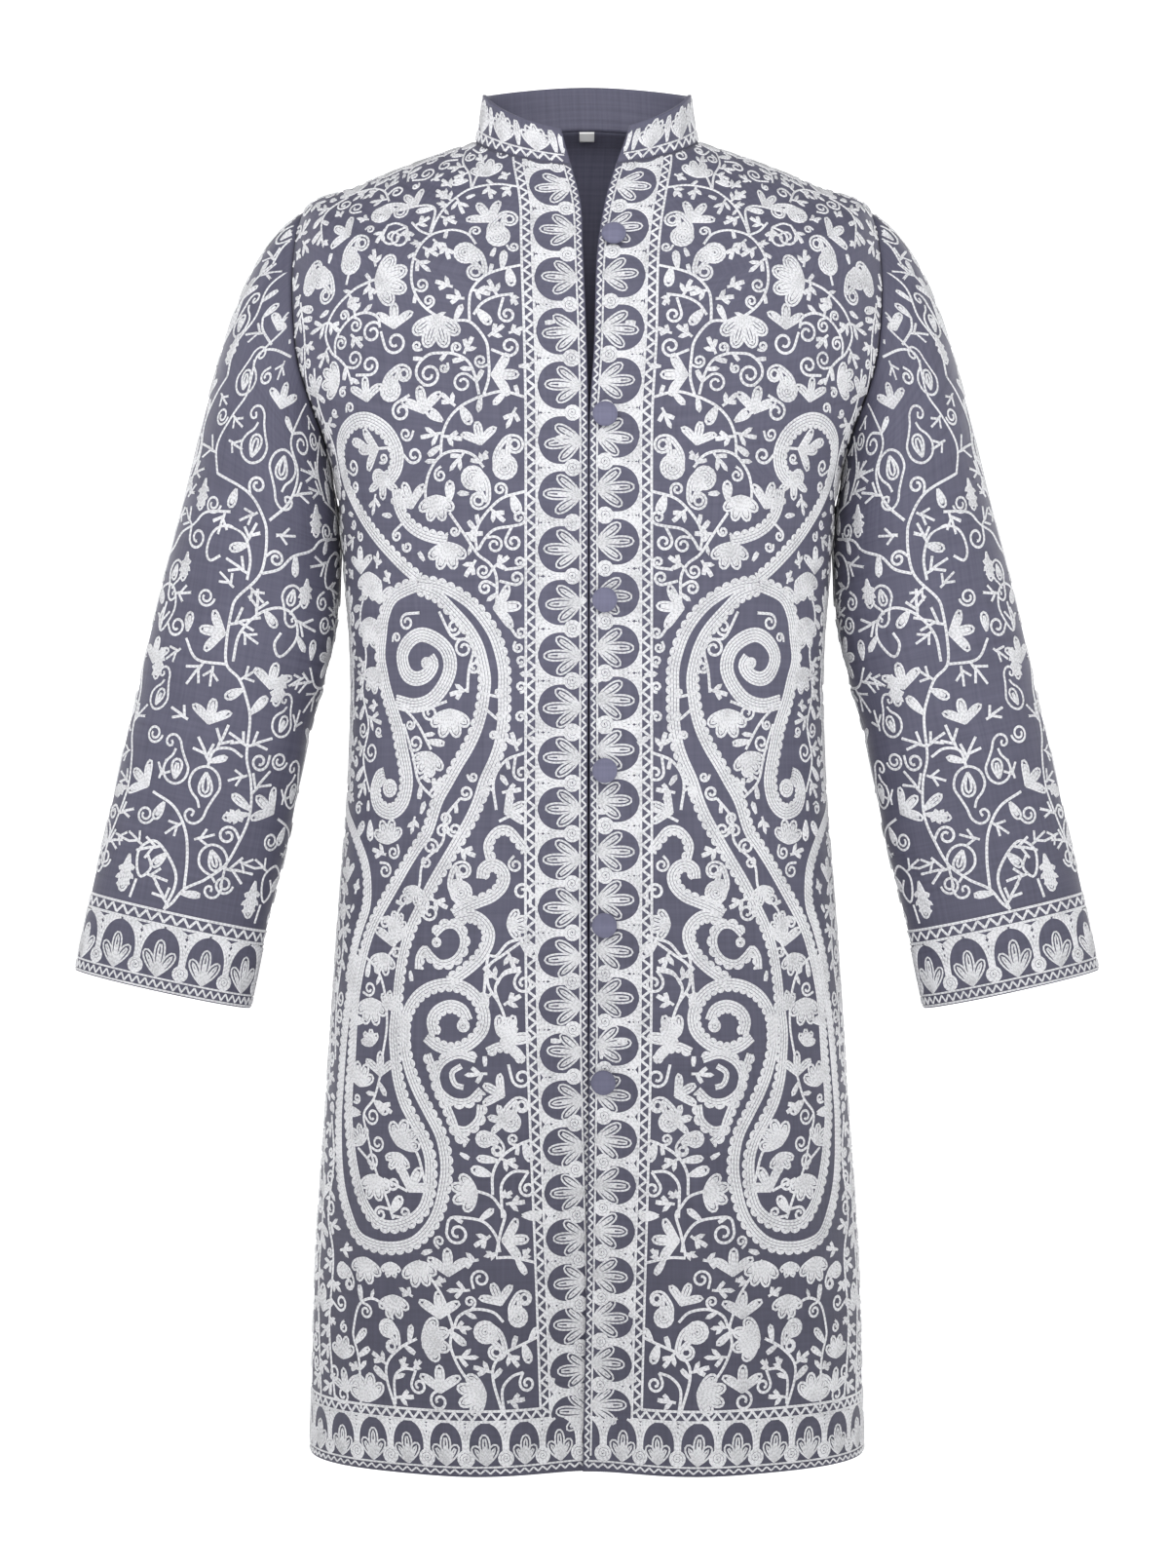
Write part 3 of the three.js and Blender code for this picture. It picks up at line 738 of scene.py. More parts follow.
def sprouts(stems, occupied, rng, looped=True, every=6.0, sizes=(19.0, 15.0, 11.0)):
    """Sprigs, tendrils and buds that grow from both sides of the stems, about every so far along them,
    wherever the ground is bare, big ones first."""
    root = 4.5  # how far from its stem a motif may stand on stitching
    out = []
    for size_now in sizes:
        for stem in stems:
            heading = np.degrees(np.arctan2(np.gradient(stem[:, 0]), -np.gradient(stem[:, 1])))
            for k in range(2, len(stem) - 1, max(2, int(every / STEP))):
                for side in (1, -1):
                    size = size_now * rng.uniform(0.85, 1.1)
                    lean = heading[k] + side * rng.uniform(34, 70)
                    kind = rng.random()
                    if kind < 0.66:
                        motif = sprig(size, looped)
                    elif kind < 0.86:
                        motif = curl(size * 0.36, lead=size * 0.35)
                    else:
                        motif = petal(size * 0.8, size * 0.3)
                    motif = placed(motif, stem[k, 0], stem[k, 1], lean, flip=side < 0)
                    if occupied.free(motif, skip=root):
                        occupied.add(motif)
                        out += motif
    return out


def fillers(occupied, rng, inside, tries, looped=True, sizes=(18.0, 13.0, 9.0)):
    """Loose sprigs, curls and lilies, and where these are small single leaves, dropped at random into what
    bare ground is left, big ones first."""
    out = []
    small = 11
    wide, high = occupied.taken.shape
    for size_now in sizes:
        for _ in range(tries // len(sizes)):
            s = occupied.origin[0] + rng.uniform(0, wide) * occupied.CELL
            t = occupied.origin[1] + rng.uniform(0, high) * occupied.CELL
            size, lean, kind = size_now * rng.uniform(0.9, 1.1), rng.uniform(-180, 180), rng.random()
            if size < small and kind < 0.45:
                motif = petal(size, size * 0.44)
            elif size < small or kind < 0.35:
                motif = curl(size * 0.4, lead=size * 0.35)
            elif kind < 0.85:
                motif = sprig(size, looped)
            else:
                motif = lily(size)
            motif = placed(motif, s, t, lean, flip=rng.random() < 0.5)
            if inside(motif) and occupied.free(motif):
                occupied.add(motif)
                out += motif
    return out


PANEL_WIDE = 300   # how far from its free edge, or the back's middle, a panel is laid flat
LEVEL_WAIST = 400  # down: the level section, where t is equal to down


def panel_map(point, start, end):
    """The flat map of a panel: for each s and t, how far down the body and at which turn it lies. On each
    level, s is the run of the cloth from start towards end; t is the run down each line of equal s, from the
    level waist."""
    down = np.linspace(0, HEM, 257)
    across = np.arange(0, PANEL_WIDE + 1, 4.0)
    turn = start(down)[:, None] + (end - start(down))[:, None] * np.linspace(0, 1, 200)
    p = point(np.broadcast_to(down[:, None], turn.shape), turn)
    at_turn = np.array([np.interp(across, r, a) for r, a in zip(run_along(p, 1), turn)])
    p = point(np.broadcast_to(down[:, None], at_turn.shape), at_turn)
    fall = run_along(p, 0)
    fall += LEVEL_WAIST - np.array([np.interp(LEVEL_WAIST, down, f) for f in fall.T])
    t = np.arange(-80, HEM + 24, 4.0)
    down_at = np.array([np.interp(t, f, down, left=-1, right=HEM + 1) for f in fall.T]).T
    turn_at = np.array([np.interp(d, down, a) for d, a in zip(down_at.T, at_turn.T)]).T
    return across, t, down_at, turn_at


def read_map(chart, s, t):
    """Both of the map's values at s, t, blended between its four nearest entries."""
    across, rows, first, second = chart
    i = np.clip((t - rows[0]) / (rows[1] - rows[0]), 0, len(rows) - 1.001)
    j = np.clip((s - across[0]) / (across[1] - across[0]), 0, len(across) - 1.001)
    a, b = i.astype(int), j.astype(int)
    u, v = i - a, j - b
    return tuple((1 - u) * ((1 - v) * value[a, b] + v * value[a, b + 1])
                 + u * ((1 - v) * value[a + 1, b] + v * value[a + 1, b + 1]) for value in (first, second))


def thread_material(name, colour, dim, bright):
    """Chain stitch in a soft lustrous thread. The UV runs in stitches along each row and once across it:
    every stitch is a bent link, high in its middle and low at its ends and in its hollow, where painted shade
    makes it a little darker. Like the silk, the thread carries painted shade by height: a little darker
    towards the hem."""
    material = plain_material(name, colour, 0.5)
    tree, shader, add = nodes_of(material)
    uv = add("ShaderNodeSeparateXYZ", {0: add("ShaderNodeUVMap", uv_map="cloth").outputs["UV"]})
    along, across = uv.outputs["X"], uv.outputs["Y"]
    off = add("ShaderNodeMath", {0: across, 1: 0.5}, operation="SUBTRACT").outputs[0]
    away = add("ShaderNodeMath", {0: off}, operation="ABSOLUTE").outputs[0]
    bent = add("ShaderNodeMath", {0: away, 1: 0.7, 2: along}, operation="MULTIPLY_ADD").outputs[0]
    part = add("ShaderNodeMath", {0: bent}, operation="FRACT").outputs[0]
    half_turn = add("ShaderNodeMath", {0: part, 1: math.pi}, operation="MULTIPLY").outputs[0]
    link = add("ShaderNodeMath", {0: half_turn}, operation="SINE").outputs[0]
    hollow = add("ShaderNodeMapRange", {"Value": away, "From Min": 0.0, "From Max": 0.16}).outputs["Result"]
    shape = add("ShaderNodeMath", {0: hollow, 1: 0.45, 2: link}, operation="MULTIPLY_ADD").outputs[0]
    place = add("ShaderNodeTexCoord").outputs["Object"]
    spun = add("ShaderNodeTexNoise", {"Vector": place, "Scale": 900.0, "Detail": 2.0}).outputs["Fac"]
    patch = add("ShaderNodeTexNoise", {"Vector": place, "Scale": 60.0, "Detail": 2.0}).outputs["Fac"]
    mixed = add("ShaderNodeMath", {0: patch, 1: spun}, operation="ADD").outputs[0]
    # Painted shade: the thread is darkened where its link is low, at its ends and in its hollow, with random
    # patches on top.
    painted_shade_and_patches = add("ShaderNodeMath", {0: shape, 1: 0.55, 2: mixed}, operation="MULTIPLY_ADD").outputs[0]
    shade = add("ShaderNodeMapRange", {"Value": painted_shade_and_patches, "From Min": 0.8, "From Max": 1.75}).outputs["Result"]
    ramp = add("ShaderNodeMix", {"Factor": shade}, data_type="RGBA")
    ramp.inputs["A"].default_value = (*dim, 1)
    ramp.inputs["B"].default_value = (*bright, 1)
    # Painted shade by height: the thread is darkened a little towards the hem.
    height_at = add("ShaderNodeSeparateXYZ", {0: place}).outputs["Z"]
    painted_falloff = add("ShaderNodeMapRange", {"Value": height_at, "From Min": -0.88, "From Max": -0.45,
                                        "To Min": 0.89, "To Max": 1.01}).outputs["Result"]
    dyed = add("ShaderNodeVectorMath", {0: ramp.outputs["Result"], "Scale": painted_falloff}, operation="SCALE")
    tree.links.new(dyed.outputs[0], shader.inputs["Base Color"])
    height = add("ShaderNodeMath", {0: spun, 1: 0.3, 2: shape}, operation="MULTIPLY_ADD").outputs[0]
    bump = add("ShaderNodeBump", {"Strength": 0.5, "Distance": 0.0006, "Height": height})
    tree.links.new(bump.outputs["Normal"], shader.inputs["Normal"])
    shader.inputs["Sheen Weight"].default_value = 0.25
    return material


thread = thread_material("ivory_thread", colour=(0.76, 0.76, 0.76), dim=(0.37, 0.37, 0.395),
                         bright=(0.80, 0.80, 0.825))
STITCH = 3.2  # the length of one link
ROW_EDGE, ROW_LEAST, ROW_UNEVEN = 0.12, 0.9, 0.25  # the height of its edges and middle, and how uneven it is


def stitch_rows(name, fine, full, stout, place, rng):
    """Every row, fine, full or stout in width, as a raised ribbon three points wide, low at its edges and
    high in its middle, laid on the cloth by place(s, t, height), which also says which points are on the
    panel. Faces off the panel are left out, and the rest are turned over together if they point into the
    cloth."""
    rows = [*fine, *full, *stout]
    points = np.vstack(rows)
    lengths = np.array([len(q) for q in rows])
    width = np.repeat([FINE_ROW] * len(fine) + [ROW] * len(full) + [STOUT_ROW] * len(stout), lengths)
    row = np.repeat(np.arange(len(rows)), lengths)
    first = np.concatenate([[0], np.cumsum(lengths)[:-1]])
    index = np.arange(len(points))
    ahead = np.minimum(index + 1, (first + lengths - 1)[row])
    behind = np.maximum(index - 1, first[row])
    way = unit(points[ahead] - points[behind])
    side = np.stack([-way[:, 1], way[:, 0]], 1) * width[:, None] / 2
    step = np.hypot(*(points - points[behind]).T)
    run = np.cumsum(step)
    run = (run - run[first][row]) / STITCH + rng.random(len(rows))[row]
    lift = ROW_LEAST + ROW_UNEVEN * rng.random(len(rows))[row]
    laid = [place(*(points + k * side).T, height) for k, height in ((-1, ROW_EDGE), (0, lift), (1, ROW_EDGE))]
    corners = np.stack([a[0] for a in laid], 1).reshape(-1, 3) * MM
    uv = np.stack([np.repeat(run, 3), np.tile([0.0, 0.5, 1.0], len(points))], 1)
    good = np.logical_and.reduce([a[1] for a in laid])
    start = index[(ahead > index) & good & good[ahead]]
    corner = 3 * start[:, None] + [0, 3, 4, 1]
    faces = np.concatenate([corner, corner + 1])
    a, b, c = (corners[faces[:, k]] for k in (0, 1, 3))
    up = (laid[1][0] - (laid[0][0] + laid[2][0]) / 2)[np.concatenate([start, start])]
    if (np.cross(b - a, c - a) * up).sum() < 0:
        faces = faces[:, ::-1]
    used = np.unique(faces)
    renumber = np.zeros(len(corners), int)
    renumber[used] = np.arange(len(used))
    piece = mesh_piece(name, corners[used], renumber[faces], thread, uv[used])
    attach(piece, "root")
    return piece


FROM_TOP, FROM_HEM, FROM_FREE_EDGE, FROM_ARMHOLE = 0.6, 0.4, 0.1, 0.008  # how near stitching comes to each


def on_front(panel, chart):
    """Lays s, t, height on a front: the cloth's point there, raised along its normal."""
    def surface(down, turn):
        return front_at(panel, down, turn)

    def place(s, t, height):
        down, turn = read_map(chart, s, t)
        shown = np.clip(down, 0, HEM)
        normal = -outward(surface, np.clip(shown, DOWN_STEP, HEM - DOWN_STEP), turn, DOWN_STEP, TURN_STEP)
        limit = armhole_turn(shown, ARMHOLE_FRONT)
        clear = (turn > limit + FROM_ARMHOLE) if panel == "left" else (turn < np.pi - limit - FROM_ARMHOLE)
        good = clear & (down >= FROM_TOP) & (down <= HEM - FROM_HEM) & (s > FROM_FREE_EDGE)
        return surface(shown, turn) + normal * np.broadcast_to(height, len(s))[:, None], good
    return place


PAST_SIDE = 0.5  # how far past the side seam a panel's map runs, in radians round the body
front_charts = {side: panel_map(lambda down, turn, side=side: front_at(side, down, turn),
                                lambda down, side=side: edge_turn(down, side), end)
                for side, end in (("left", -PAST_SIDE), ("right", np.pi + PAST_SIDE))}

# The front band: a zigzag beside a line at the edge, palmettes pointing away from it, a ball between each
# two, solid pillars that open out round the palmettes' dark ovals, and an outer zigzag between lines. The
# palmettes stand closer and closer together down the front.
count = np.arange(26)
PALMETTES = np.concatenate([[28.0, 67.0], 106 + 39.4 * count - 0.176 * count**2])


def down_the_edge(s, t_from=-60.0, t_to=1024.0):
    """An upright line at s, as closely spaced points."""
    return np.stack([np.full(220, float(s)), np.linspace(t_from, t_to, 220)], 1)


FRONT_DEPTHS = {"palmette": 4.6, "length": 26.8, "lean": 36, "share": 0.81, "ball": 10.8, "pillar": 15.0,
                "reach": 20.5, "oval": 16.2}
HEM_DEPTHS = {"palmette": 7.6, "length": 22.5, "lean": 31, "share": 0.76, "ball": 12.2, "pillar": 17.0,
              "reach": 20.5, "oval": 16.6}


def front_border(side):
    """The right front's palmettes sit a little lower than the left's."""
    lower = 2.5 + 3.0 * smooth(200, 400, PALMETTES) if side == "right" else 0
    centres = (PALMETTES + lower)[PALMETTES < 1000]
    fine, full = border(centres, lambda c, x: (x, c), FRONT_DEPTHS, np.random.default_rng(41), closed=False)
    fine += zigzag(down_the_edge(2.65), 3.2, 6.2) + [down_the_edge(5.4, t_to=1016.0)]
    full += [down_the_edge(35.8, t_to=988.0), down_the_edge(43.4, t_to=981.0)]
    full += zigzag(down_the_edge(39.6, t_to=984.0), 5.6, 8.9)
    return fine, full


def hem_border(s_to, centres, starts):
    """The hem's border from s = 0 to s_to. starts are where its lower line, its zigzag and its upper line
    begin: on the fronts they stop at the front band."""
    def level(t, s_from=0.0):
        return np.stack([np.linspace(s_from, s_to, 70), np.full(70, float(t))], 1)

    fine, full = border(centres, lambda c, x: (c, HEM - x), HEM_DEPTHS, np.random.default_rng(43))
    fine += zigzag(level(1022.8), 3.0, 7.2) + [level(1019.8)]
    lower, between, upper = starts
    full += [level(988.0, lower), level(980.6, upper)] + zigzag(level(984.3, between), 5.4, 8.6)
    return fine, full


FRONT_WIDE = 262.0  # from the free edge to the side seam
hem_fine, hem_full = hem_border(FRONT_WIDE, np.arange(28.4, FRONT_WIDE, 28.4), (35.8, 38.0, 43.0))

# The great paisleys of each front, from the chest down: rows side by side along given lines, most with
# filled scallops along one side. Places are s, t on the front; the two fronts mirror each other.
GREAT_BANDS = (
    # rows, scallops (1 or -1 names the side), then the line's points
    (4, -1, ((196, 331), (201, 318), (199, 303), (191, 292), (178, 284), (166, 282), (156, 285), (146, 292),
             (140, 301), (137, 311), (139, 321), (146, 328), (154, 329))),
    (3, 1, ((201, 320), (196, 331), (185, 344), (172, 357), (159, 369), (145, 381), (133, 391), (122, 399))),
    (3, 1, ((141, 335), (139, 348), (132, 359), (122, 366), (111, 370), (100, 372))),
    (4, -1, ((122, 402), (143, 410), (152, 423), (155, 438), (157, 454), (153, 469), (147, 484), (140, 500),
             (136, 515), (132, 531), (131, 543), (135, 556), (145, 563), (158, 559), (163, 548), (159, 537),
             (152, 534))),
    (3, -1, ((122, 403), (107, 409), (96, 419), (84, 432), (77, 444), (73, 457), (71, 469), (72, 481),
             (74, 493), (78, 506), (84, 518), (91, 529), (98, 541), (106, 555), (113, 575), (121, 586),
             (135, 605), (151, 628), (163, 648), (172, 673), (178, 700), (181, 736), (184, 757), (185, 778),
             (183, 795), (180, 812), (175, 828), (168, 840), (158, 850), (147, 852), (134, 848), (124, 840),
             (119, 829), (117, 817), (117, 804), (121, 791), (128, 779), (135, 766), (140, 749), (142, 733),
             (143, 717), (141, 700))),
    (3, -1, ((140, 702), (139, 684), (135, 661), (128, 642), (122, 631), (116, 620), (109, 608), (102, 597),
             (94, 584), (84, 567), (78, 554), (73, 539), (67, 526), (63, 515), (61, 504), (60, 492),
             (60, 478), (60, 463), (63, 449), (68, 436), (77, 423), (88, 413), (105, 404), (122, 401))),
    (3, 1, ((134, 704), (134, 725), (130, 743), (124, 758), (117, 771), (109, 786), (106, 797), (105, 810),
            (107, 823), (112, 840), (120, 853), (132, 863), (147, 867), (163, 866), (178, 860), (188, 844),
            (194, 828), (197, 811), (198, 794), (198, 776), (196, 758), (193, 732), (189, 708), (183, 686),
            (175, 664))),
    (3, -1, ((225, 552), (210, 562), (192, 573), (178, 586), (169, 600), (166, 615), (167, 630), (174, 645),
             (181, 662), (188, 684))),
    (5, 0, ((142, 484), (126, 487), (112, 483), (102, 472), (98, 460), (101, 448), (110, 440), (121, 437),
            (131, 442), (137, 452), (134, 463), (126, 468), (117, 466), (112, 459), (115, 453))),
    (3, -1, ((134, 728), (133, 708), (126, 694), (115, 685), (101, 681), (87, 683), (77, 691), (72, 702),
             (73, 713), (79, 721), (88, 727), (98, 729), (108, 726), (116, 720))),
    (3, -1, ((110, 718), (112, 708), (107, 700), (97, 696), (88, 699), (84, 707))),
    (2, -1, ((80, 735), (92, 732), (103, 737), (108, 746), (106, 756), (97, 763), (86, 763), (77, 755))),
    (2, 0, ((90, 739), (97, 744), (95, 752), (89, 754))),
    (2, -1, ((72, 728), (62, 724), (52, 727), (46, 734))),
    (2, 1, ((78, 766), (80, 776), (88, 783), (97, 782))),
    (2, -1, ((114, 731), (109, 745), (106, 757), (101, 767), (97, 777), (94, 786), (87, 792))),
    (2, -1, ((69, 596), (71, 584), (64, 574), (55, 573), (48, 580), (42, 588))),
    (3, -1, ((75, 608), (74, 601), (68, 597), (61, 599), (57, 606), (59, 614), (66, 621), (75, 625),
             (85, 629), (94, 634))),
    (3, -1, ((92, 635), (81, 633), (73, 637), (68, 645), (69, 654), (74, 663), (81, 670), (89, 676),
             (97, 681))),
    (2, 1, ((108, 648), (101, 642), (93, 642), (88, 649), (89, 658), (95, 665), (104, 667), (111, 662),
            (116, 657), (121, 663), (122, 672))),
)
BULBS = ((156, 325, 6), (147, 545, 6.5), (88, 711, 4.5), (107, 653, 3.5), (117, 457, 4))

# The solid flowers are fans of petals, three-petalled lilies, and paisleys given by bulb and curl. Between
# them stand small leaves, sprigs and round curls, which lean away from the nearest of the vines.
FANS = (
    # s, t of the root, size, turn
    (66, 96, 21, 8), (153, 185, 28, -92), (106, 213, 26, 178), (150, 66, 22, 10), (196, 92, 20, 60),
    (108, 340, 20, 180), (100, 373, 21, 180), (98, 490, 22, 180), (113, 520, 19, 165), (83, 827, 20, 95),
    (84, 968, 22, 95), (128, 931, 23, -90), (170, 877, 20, 172), (150, 879, 12, 180), (149, 902, 18, 180),
    (129, 877, 20, 188), (113, 934, 17, 80), (173, 978, 22, 10), (196, 950, 18, 0), (185, 255, 20, 70),
    (124, 614, 15, 168), (142, 645, 15, -14), (151, 662, 17, 170), (162, 694, 21, 178), (162, 727, 13, 20),
    (174, 756, 19, -10), (140, 796, 21, -38), (172, 797, 16, 30), (139, 802, 15, 160), (160, 818, 20, 175),
    (148, 584, 19, 5), (169, 392, 22, 175), (56, 640, 16, -88), (64, 716, 16, -60), (170, 424, 24, 178),
    (165, 460, 20, 165), (148, 700, 14, -30),
)
LILIES = (
    (67, 256, 20, -90), (138, 221, 19, 0), (116, 282, 20, 10), (161, 271, 18, 0), (127, 348, 20, 20),
    (180, 392, 20, 0), (158, 414, 18, 0), (66, 419, 20, -85), (58, 562, 17, -65), (62, 722, 22, -80),
    (67, 861, 20, -88), (106, 886, 20, 0), (116, 968, 20, 0), (193, 974, 18, 10), (114, 916, 20, 0),
    (144, 656, 20, 0), (154, 748, 18, 0), (133, 828, 20, -30), (154, 305, 20, 90), (152, 324, 18, 178),
    (61, 760, 17, 60), (60, 778, 14, 75), (65, 139, 20, 32), (178, 148, 20, 60), (124, 122, 19, 45),
    (75, 305, 17, 10), (70, 906, 17, 20), (198, 612, 18, 8), (222, 470, 18, 0), (210, 420, 18, 10),
    (225, 840, 18, 0), (222, 920, 18, -10), (214, 260, 18, 10), (60, 30, 18, 10), (128, 18, 18, 0),
    (176, 74, 18, 10),
)
PAISLEYS = (
    # bulb s, t, curl s, t, size
    (60, 152, 53, 139, 29), (84, 166, 77, 181, 29), (81, 328, 77, 343, 28), (204, 176, 197, 190, 28),
    (82, 925, 76, 937, 27), (175, 170, 165, 154, 29), (154, 128, 134, 126, 29), (141, 265, 130, 253, 26),
    (58, 321, 52, 307, 29), (98, 44, 90, 31, 26), (160, 40, 152, 27, 25), (155, 925, 152, 938, 22),
    (195, 888, 188, 896, 20), (58, 915, 53, 903, 24), (89, 618, 88, 606, 27), (57, 778, 48, 765, 24),
    (76, 790, 68, 797, 20), (216, 180, 208, 168, 24), (222, 330, 214, 318, 24), (228, 520, 222, 508, 24),
    (222, 700, 216, 688, 24),
)
LEAVES = (
    (52, 185), (74, 212), (51, 346), (98, 337), (86, 284), (108, 284), (45, 654), (46, 799), (45, 844),
    (79, 813), (53, 940), (166, 575), (179, 575), (176, 710), (154, 770), (180, 775), (147, 843), (172, 300),
    (90, 100),
)
SPRIGS = (
    (88, 92), (101, 100), (104, 111), (118, 138), (97, 137), (104, 160), (129, 148), (154, 168), (151, 150),
    (158, 190), (173, 197), (168, 228), (66, 112), (98, 116), (72, 74), (100, 190), (92, 200), (76, 196),
    (64, 194), (63, 225), (83, 235), (98, 273), (95, 300), (65, 353), (62, 388), (83, 391), (86, 367),
    (51, 512), (53, 547), (85, 590), (105, 626), (55, 662), (53, 693), (61, 806), (56, 835), (81, 861),
    (91, 875), (62, 974), (64, 944), (85, 951), (143, 973), (162, 947), (190, 873), (86, 476), (115, 536),
    (108, 543), (156, 590), (98, 165), (110, 165), (170, 205), (192, 212), (150, 770), (66, 676), (70, 690),
)
CURLS = (
    (124, 84, 8), (141, 151, 8), (108, 76, 7), (52, 72, 6), (74, 60, 6), (134, 153, 8), (55, 213, 6),
    (54, 236, 7), (137, 231, 8.5), (155, 223, 8), (157, 246, 7), (112, 255, 8), (133, 280, 7), (125, 311, 6),
    (52, 373, 6), (48, 356, 5), (48, 387, 4), (50, 398, 5), (72, 405, 5), (46, 534, 6), (46, 617, 6),
    (112, 632, 6), (45, 681, 7), (48, 747, 7), (47, 825, 6), (98, 856, 8), (53, 962, 6), (117, 974, 7),
    (132, 964, 6), (197, 911, 6), (223, 905, 6), (197, 976, 6), (207, 961, 6), (212, 825, 6), (210, 845, 6),
    (183, 316, 6), (183, 330, 4), (140, 367, 4), (131, 375, 4), (132, 428, 6), (95, 432, 6), (88, 447, 7),
    (80, 460, 4.5), (113, 492, 6), (125, 513, 6), (103, 575, 5), (112, 586, 6), (101, 566, 4.5),
    (115, 597, 4), (134, 624, 4.5), (140, 660, 4), (150, 640, 4), (163, 808, 6), (145, 823, 5), (156, 845, 5),
    (137, 843, 4), (47, 436, 4), (47, 456, 4), (47, 474, 4), (47, 495, 4), (94, 574, 5), (86, 548, 5),
    (72, 548, 4), (63, 478, 3), (62, 494, 3), (66, 508, 3),
)
VINES = (
    ((76, 159), (82, 150), (92, 146), (102, 147), (111, 151), (119, 161), (124, 175), (124, 190), (118, 203),
     (108, 212), (97, 217), (82, 218), (71, 231), (69, 243), (69, 258), (73, 271)),
    ((44, 108), (60, 105), (80, 108), (92, 116), (101, 126), (107, 138), (111, 150)),
    ((111, 150), (119, 146), (126, 138)), ((80, 108), (82, 92), (90, 76), (94, 58)),
    ((80, 108), (74, 93), (66, 88)), ((111, 148), (108, 128), (114, 122), (124, 122)),
    ((146, 140), (139, 138), (130, 142)), ((178, 186), (176, 176), (176, 160)),
    ((94, 58), (86, 40), (90, 20), (84, -10)), ((44, 60), (58, 50), (66, 32), (60, 10)),
    ((150, 114), (160, 100), (176, 92), (196, 92)), ((118, 60), (126, 40), (120, 18), (126, -10)),
    ((140, 92), (148, 70), (144, 50), (152, 30)), ((176, 92), (182, 70), (178, 54)),
    ((82, 218), (82, 206), (80, 195), (71, 185), (60, 180), (44, 176)),
    ((79, 213), (73, 205), (63, 200), (50, 198)),
    ((76, 270), (79, 256), (84, 246), (93, 241), (103, 240), (112, 241), (120, 248), (121, 256), (115, 263)),
    ((187, 236), (186, 224), (175, 212), (162, 208), (151, 212), (149, 220)),
    ((152, 184), (162, 187), (172, 191), (188, 203), (196, 218), (191, 232), (183, 239), (177, 246),
     (173, 258)),
    ((77, 272), (89, 278), (98, 287), (103, 299), (104, 312)), ((44, 272), (60, 268), (77, 272)),
    ((73, 321), (81, 312), (93, 309), (104, 312), (113, 322), (116, 334), (116, 343)),
    ((78, 379), (79, 368), (76, 359), (68, 349), (59, 342), (44, 338)),
    ((77, 378), (72, 370), (65, 364), (53, 362)),
    ((98, 352), (88, 366), (78, 381), (69, 388), (64, 398), (64, 418)), ((138, 305), (154, 305)),
    ((106, 421), (96, 439), (86, 441), (81, 448), (84, 462), (85, 478)), ((137, 487), (124, 499), (112, 518)),
    ((137, 487), (120, 490), (100, 484)), ((135, 500), (127, 522), (122, 540), (110, 552)),
    ((40, 647), (47, 650), (56, 653), (64, 662), (70, 663), (70, 682), (62, 696), (58, 710), (60, 724)),
    ((64, 682), (58, 673), (47, 670)), ((44, 791), (52, 794), (64, 802), (71, 814), (72, 829)),
    ((66, 845), (66, 833), (65, 821), (57, 813), (46, 813)),
    ((84, 826), (73, 830), (67, 838), (64, 843), (68, 856), (72, 872)),
    ((106, 856), (103, 846), (93, 845), (79, 848), (71, 858), (69, 869)), ((72, 873), (60, 873), (44, 877)),
    ((71, 984), (72, 966), (65, 957), (56, 954)),
    ((73, 980), (78, 960), (77, 948), (69, 940), (60, 936), (44, 930)),
    ((116, 928), (105, 923), (100, 914), (89, 909), (76, 911), (69, 918)),
    ((128, 876), (112, 899), (107, 914), (105, 923), (107, 935), (101, 951), (90, 966)),
    ((150, 984), (157, 962), (156, 949), (145, 938), (132, 931)),
    ((151, 978), (151, 960), (144, 953), (134, 953)),
    ((180, 984), (180, 950), (184, 935), (184, 928), (178, 911), (166, 905), (155, 911), (150, 919)),
    ((137, 796), (126, 800), (120, 822)), ((176, 660), (158, 672), (150, 690), (148, 712), (152, 734)),
    ((154, 748), (160, 764), (170, 776), (166, 792), (160, 812), (152, 830), (146, 848)),
    ((152, 820), (134, 828)), ((160, 812), (176, 800)), ((210, 240), (214, 270), (208, 300), (214, 330)),
    ((174, 404), (184, 424), (176, 448), (182, 474), (172, 500), (178, 524), (168, 548)),
    ((205, 400), (212, 440), (204, 480), (210, 520), (204, 552)),
    ((228, 380), (224, 430), (230, 480), (224, 540)),
    ((196, 596), (204, 630), (200, 660), (210, 700), (208, 740)),
    ((230, 600), (224, 650), (230, 700), (222, 760)),
    ((212, 780), (206, 810), (214, 850), (206, 880), (212, 930), (206, 980)),
    ((232, 790), (226, 850), (232, 900), (226, 980)), ((226, 190), (220, 220), (228, 260)),
    ((200, 100), (212, 124), (206, 150)),
    ((90, 552), (101, 566), (103, 583), (118, 598), (122, 617), (139, 632), (141, 654), (154, 671)),
    ((73, 688), (70, 670), (59, 661), (45, 651)), ((63, 694), (65, 684), (59, 675), (47, 672)),
    ((44, 560), (54, 564), (62, 568)), ((44, 520), (58, 526), (66, 540), (64, 560)),
)


def nearest(stems, s, t):
    """The point of the stems nearest to a place, and the heading from it to the place, 0 up, 90 towards
    larger s."""
    points = np.vstack(stems)
    p = points[np.argmin(np.hypot(*(points - [s, t]).T))]
    return p, math.degrees(math.atan2(s - p[0], p[1] - t))


LONGEST_LEAD, NEAR_STEM = 11, 34  # how long a tendril's stalk may be, and how near its stem


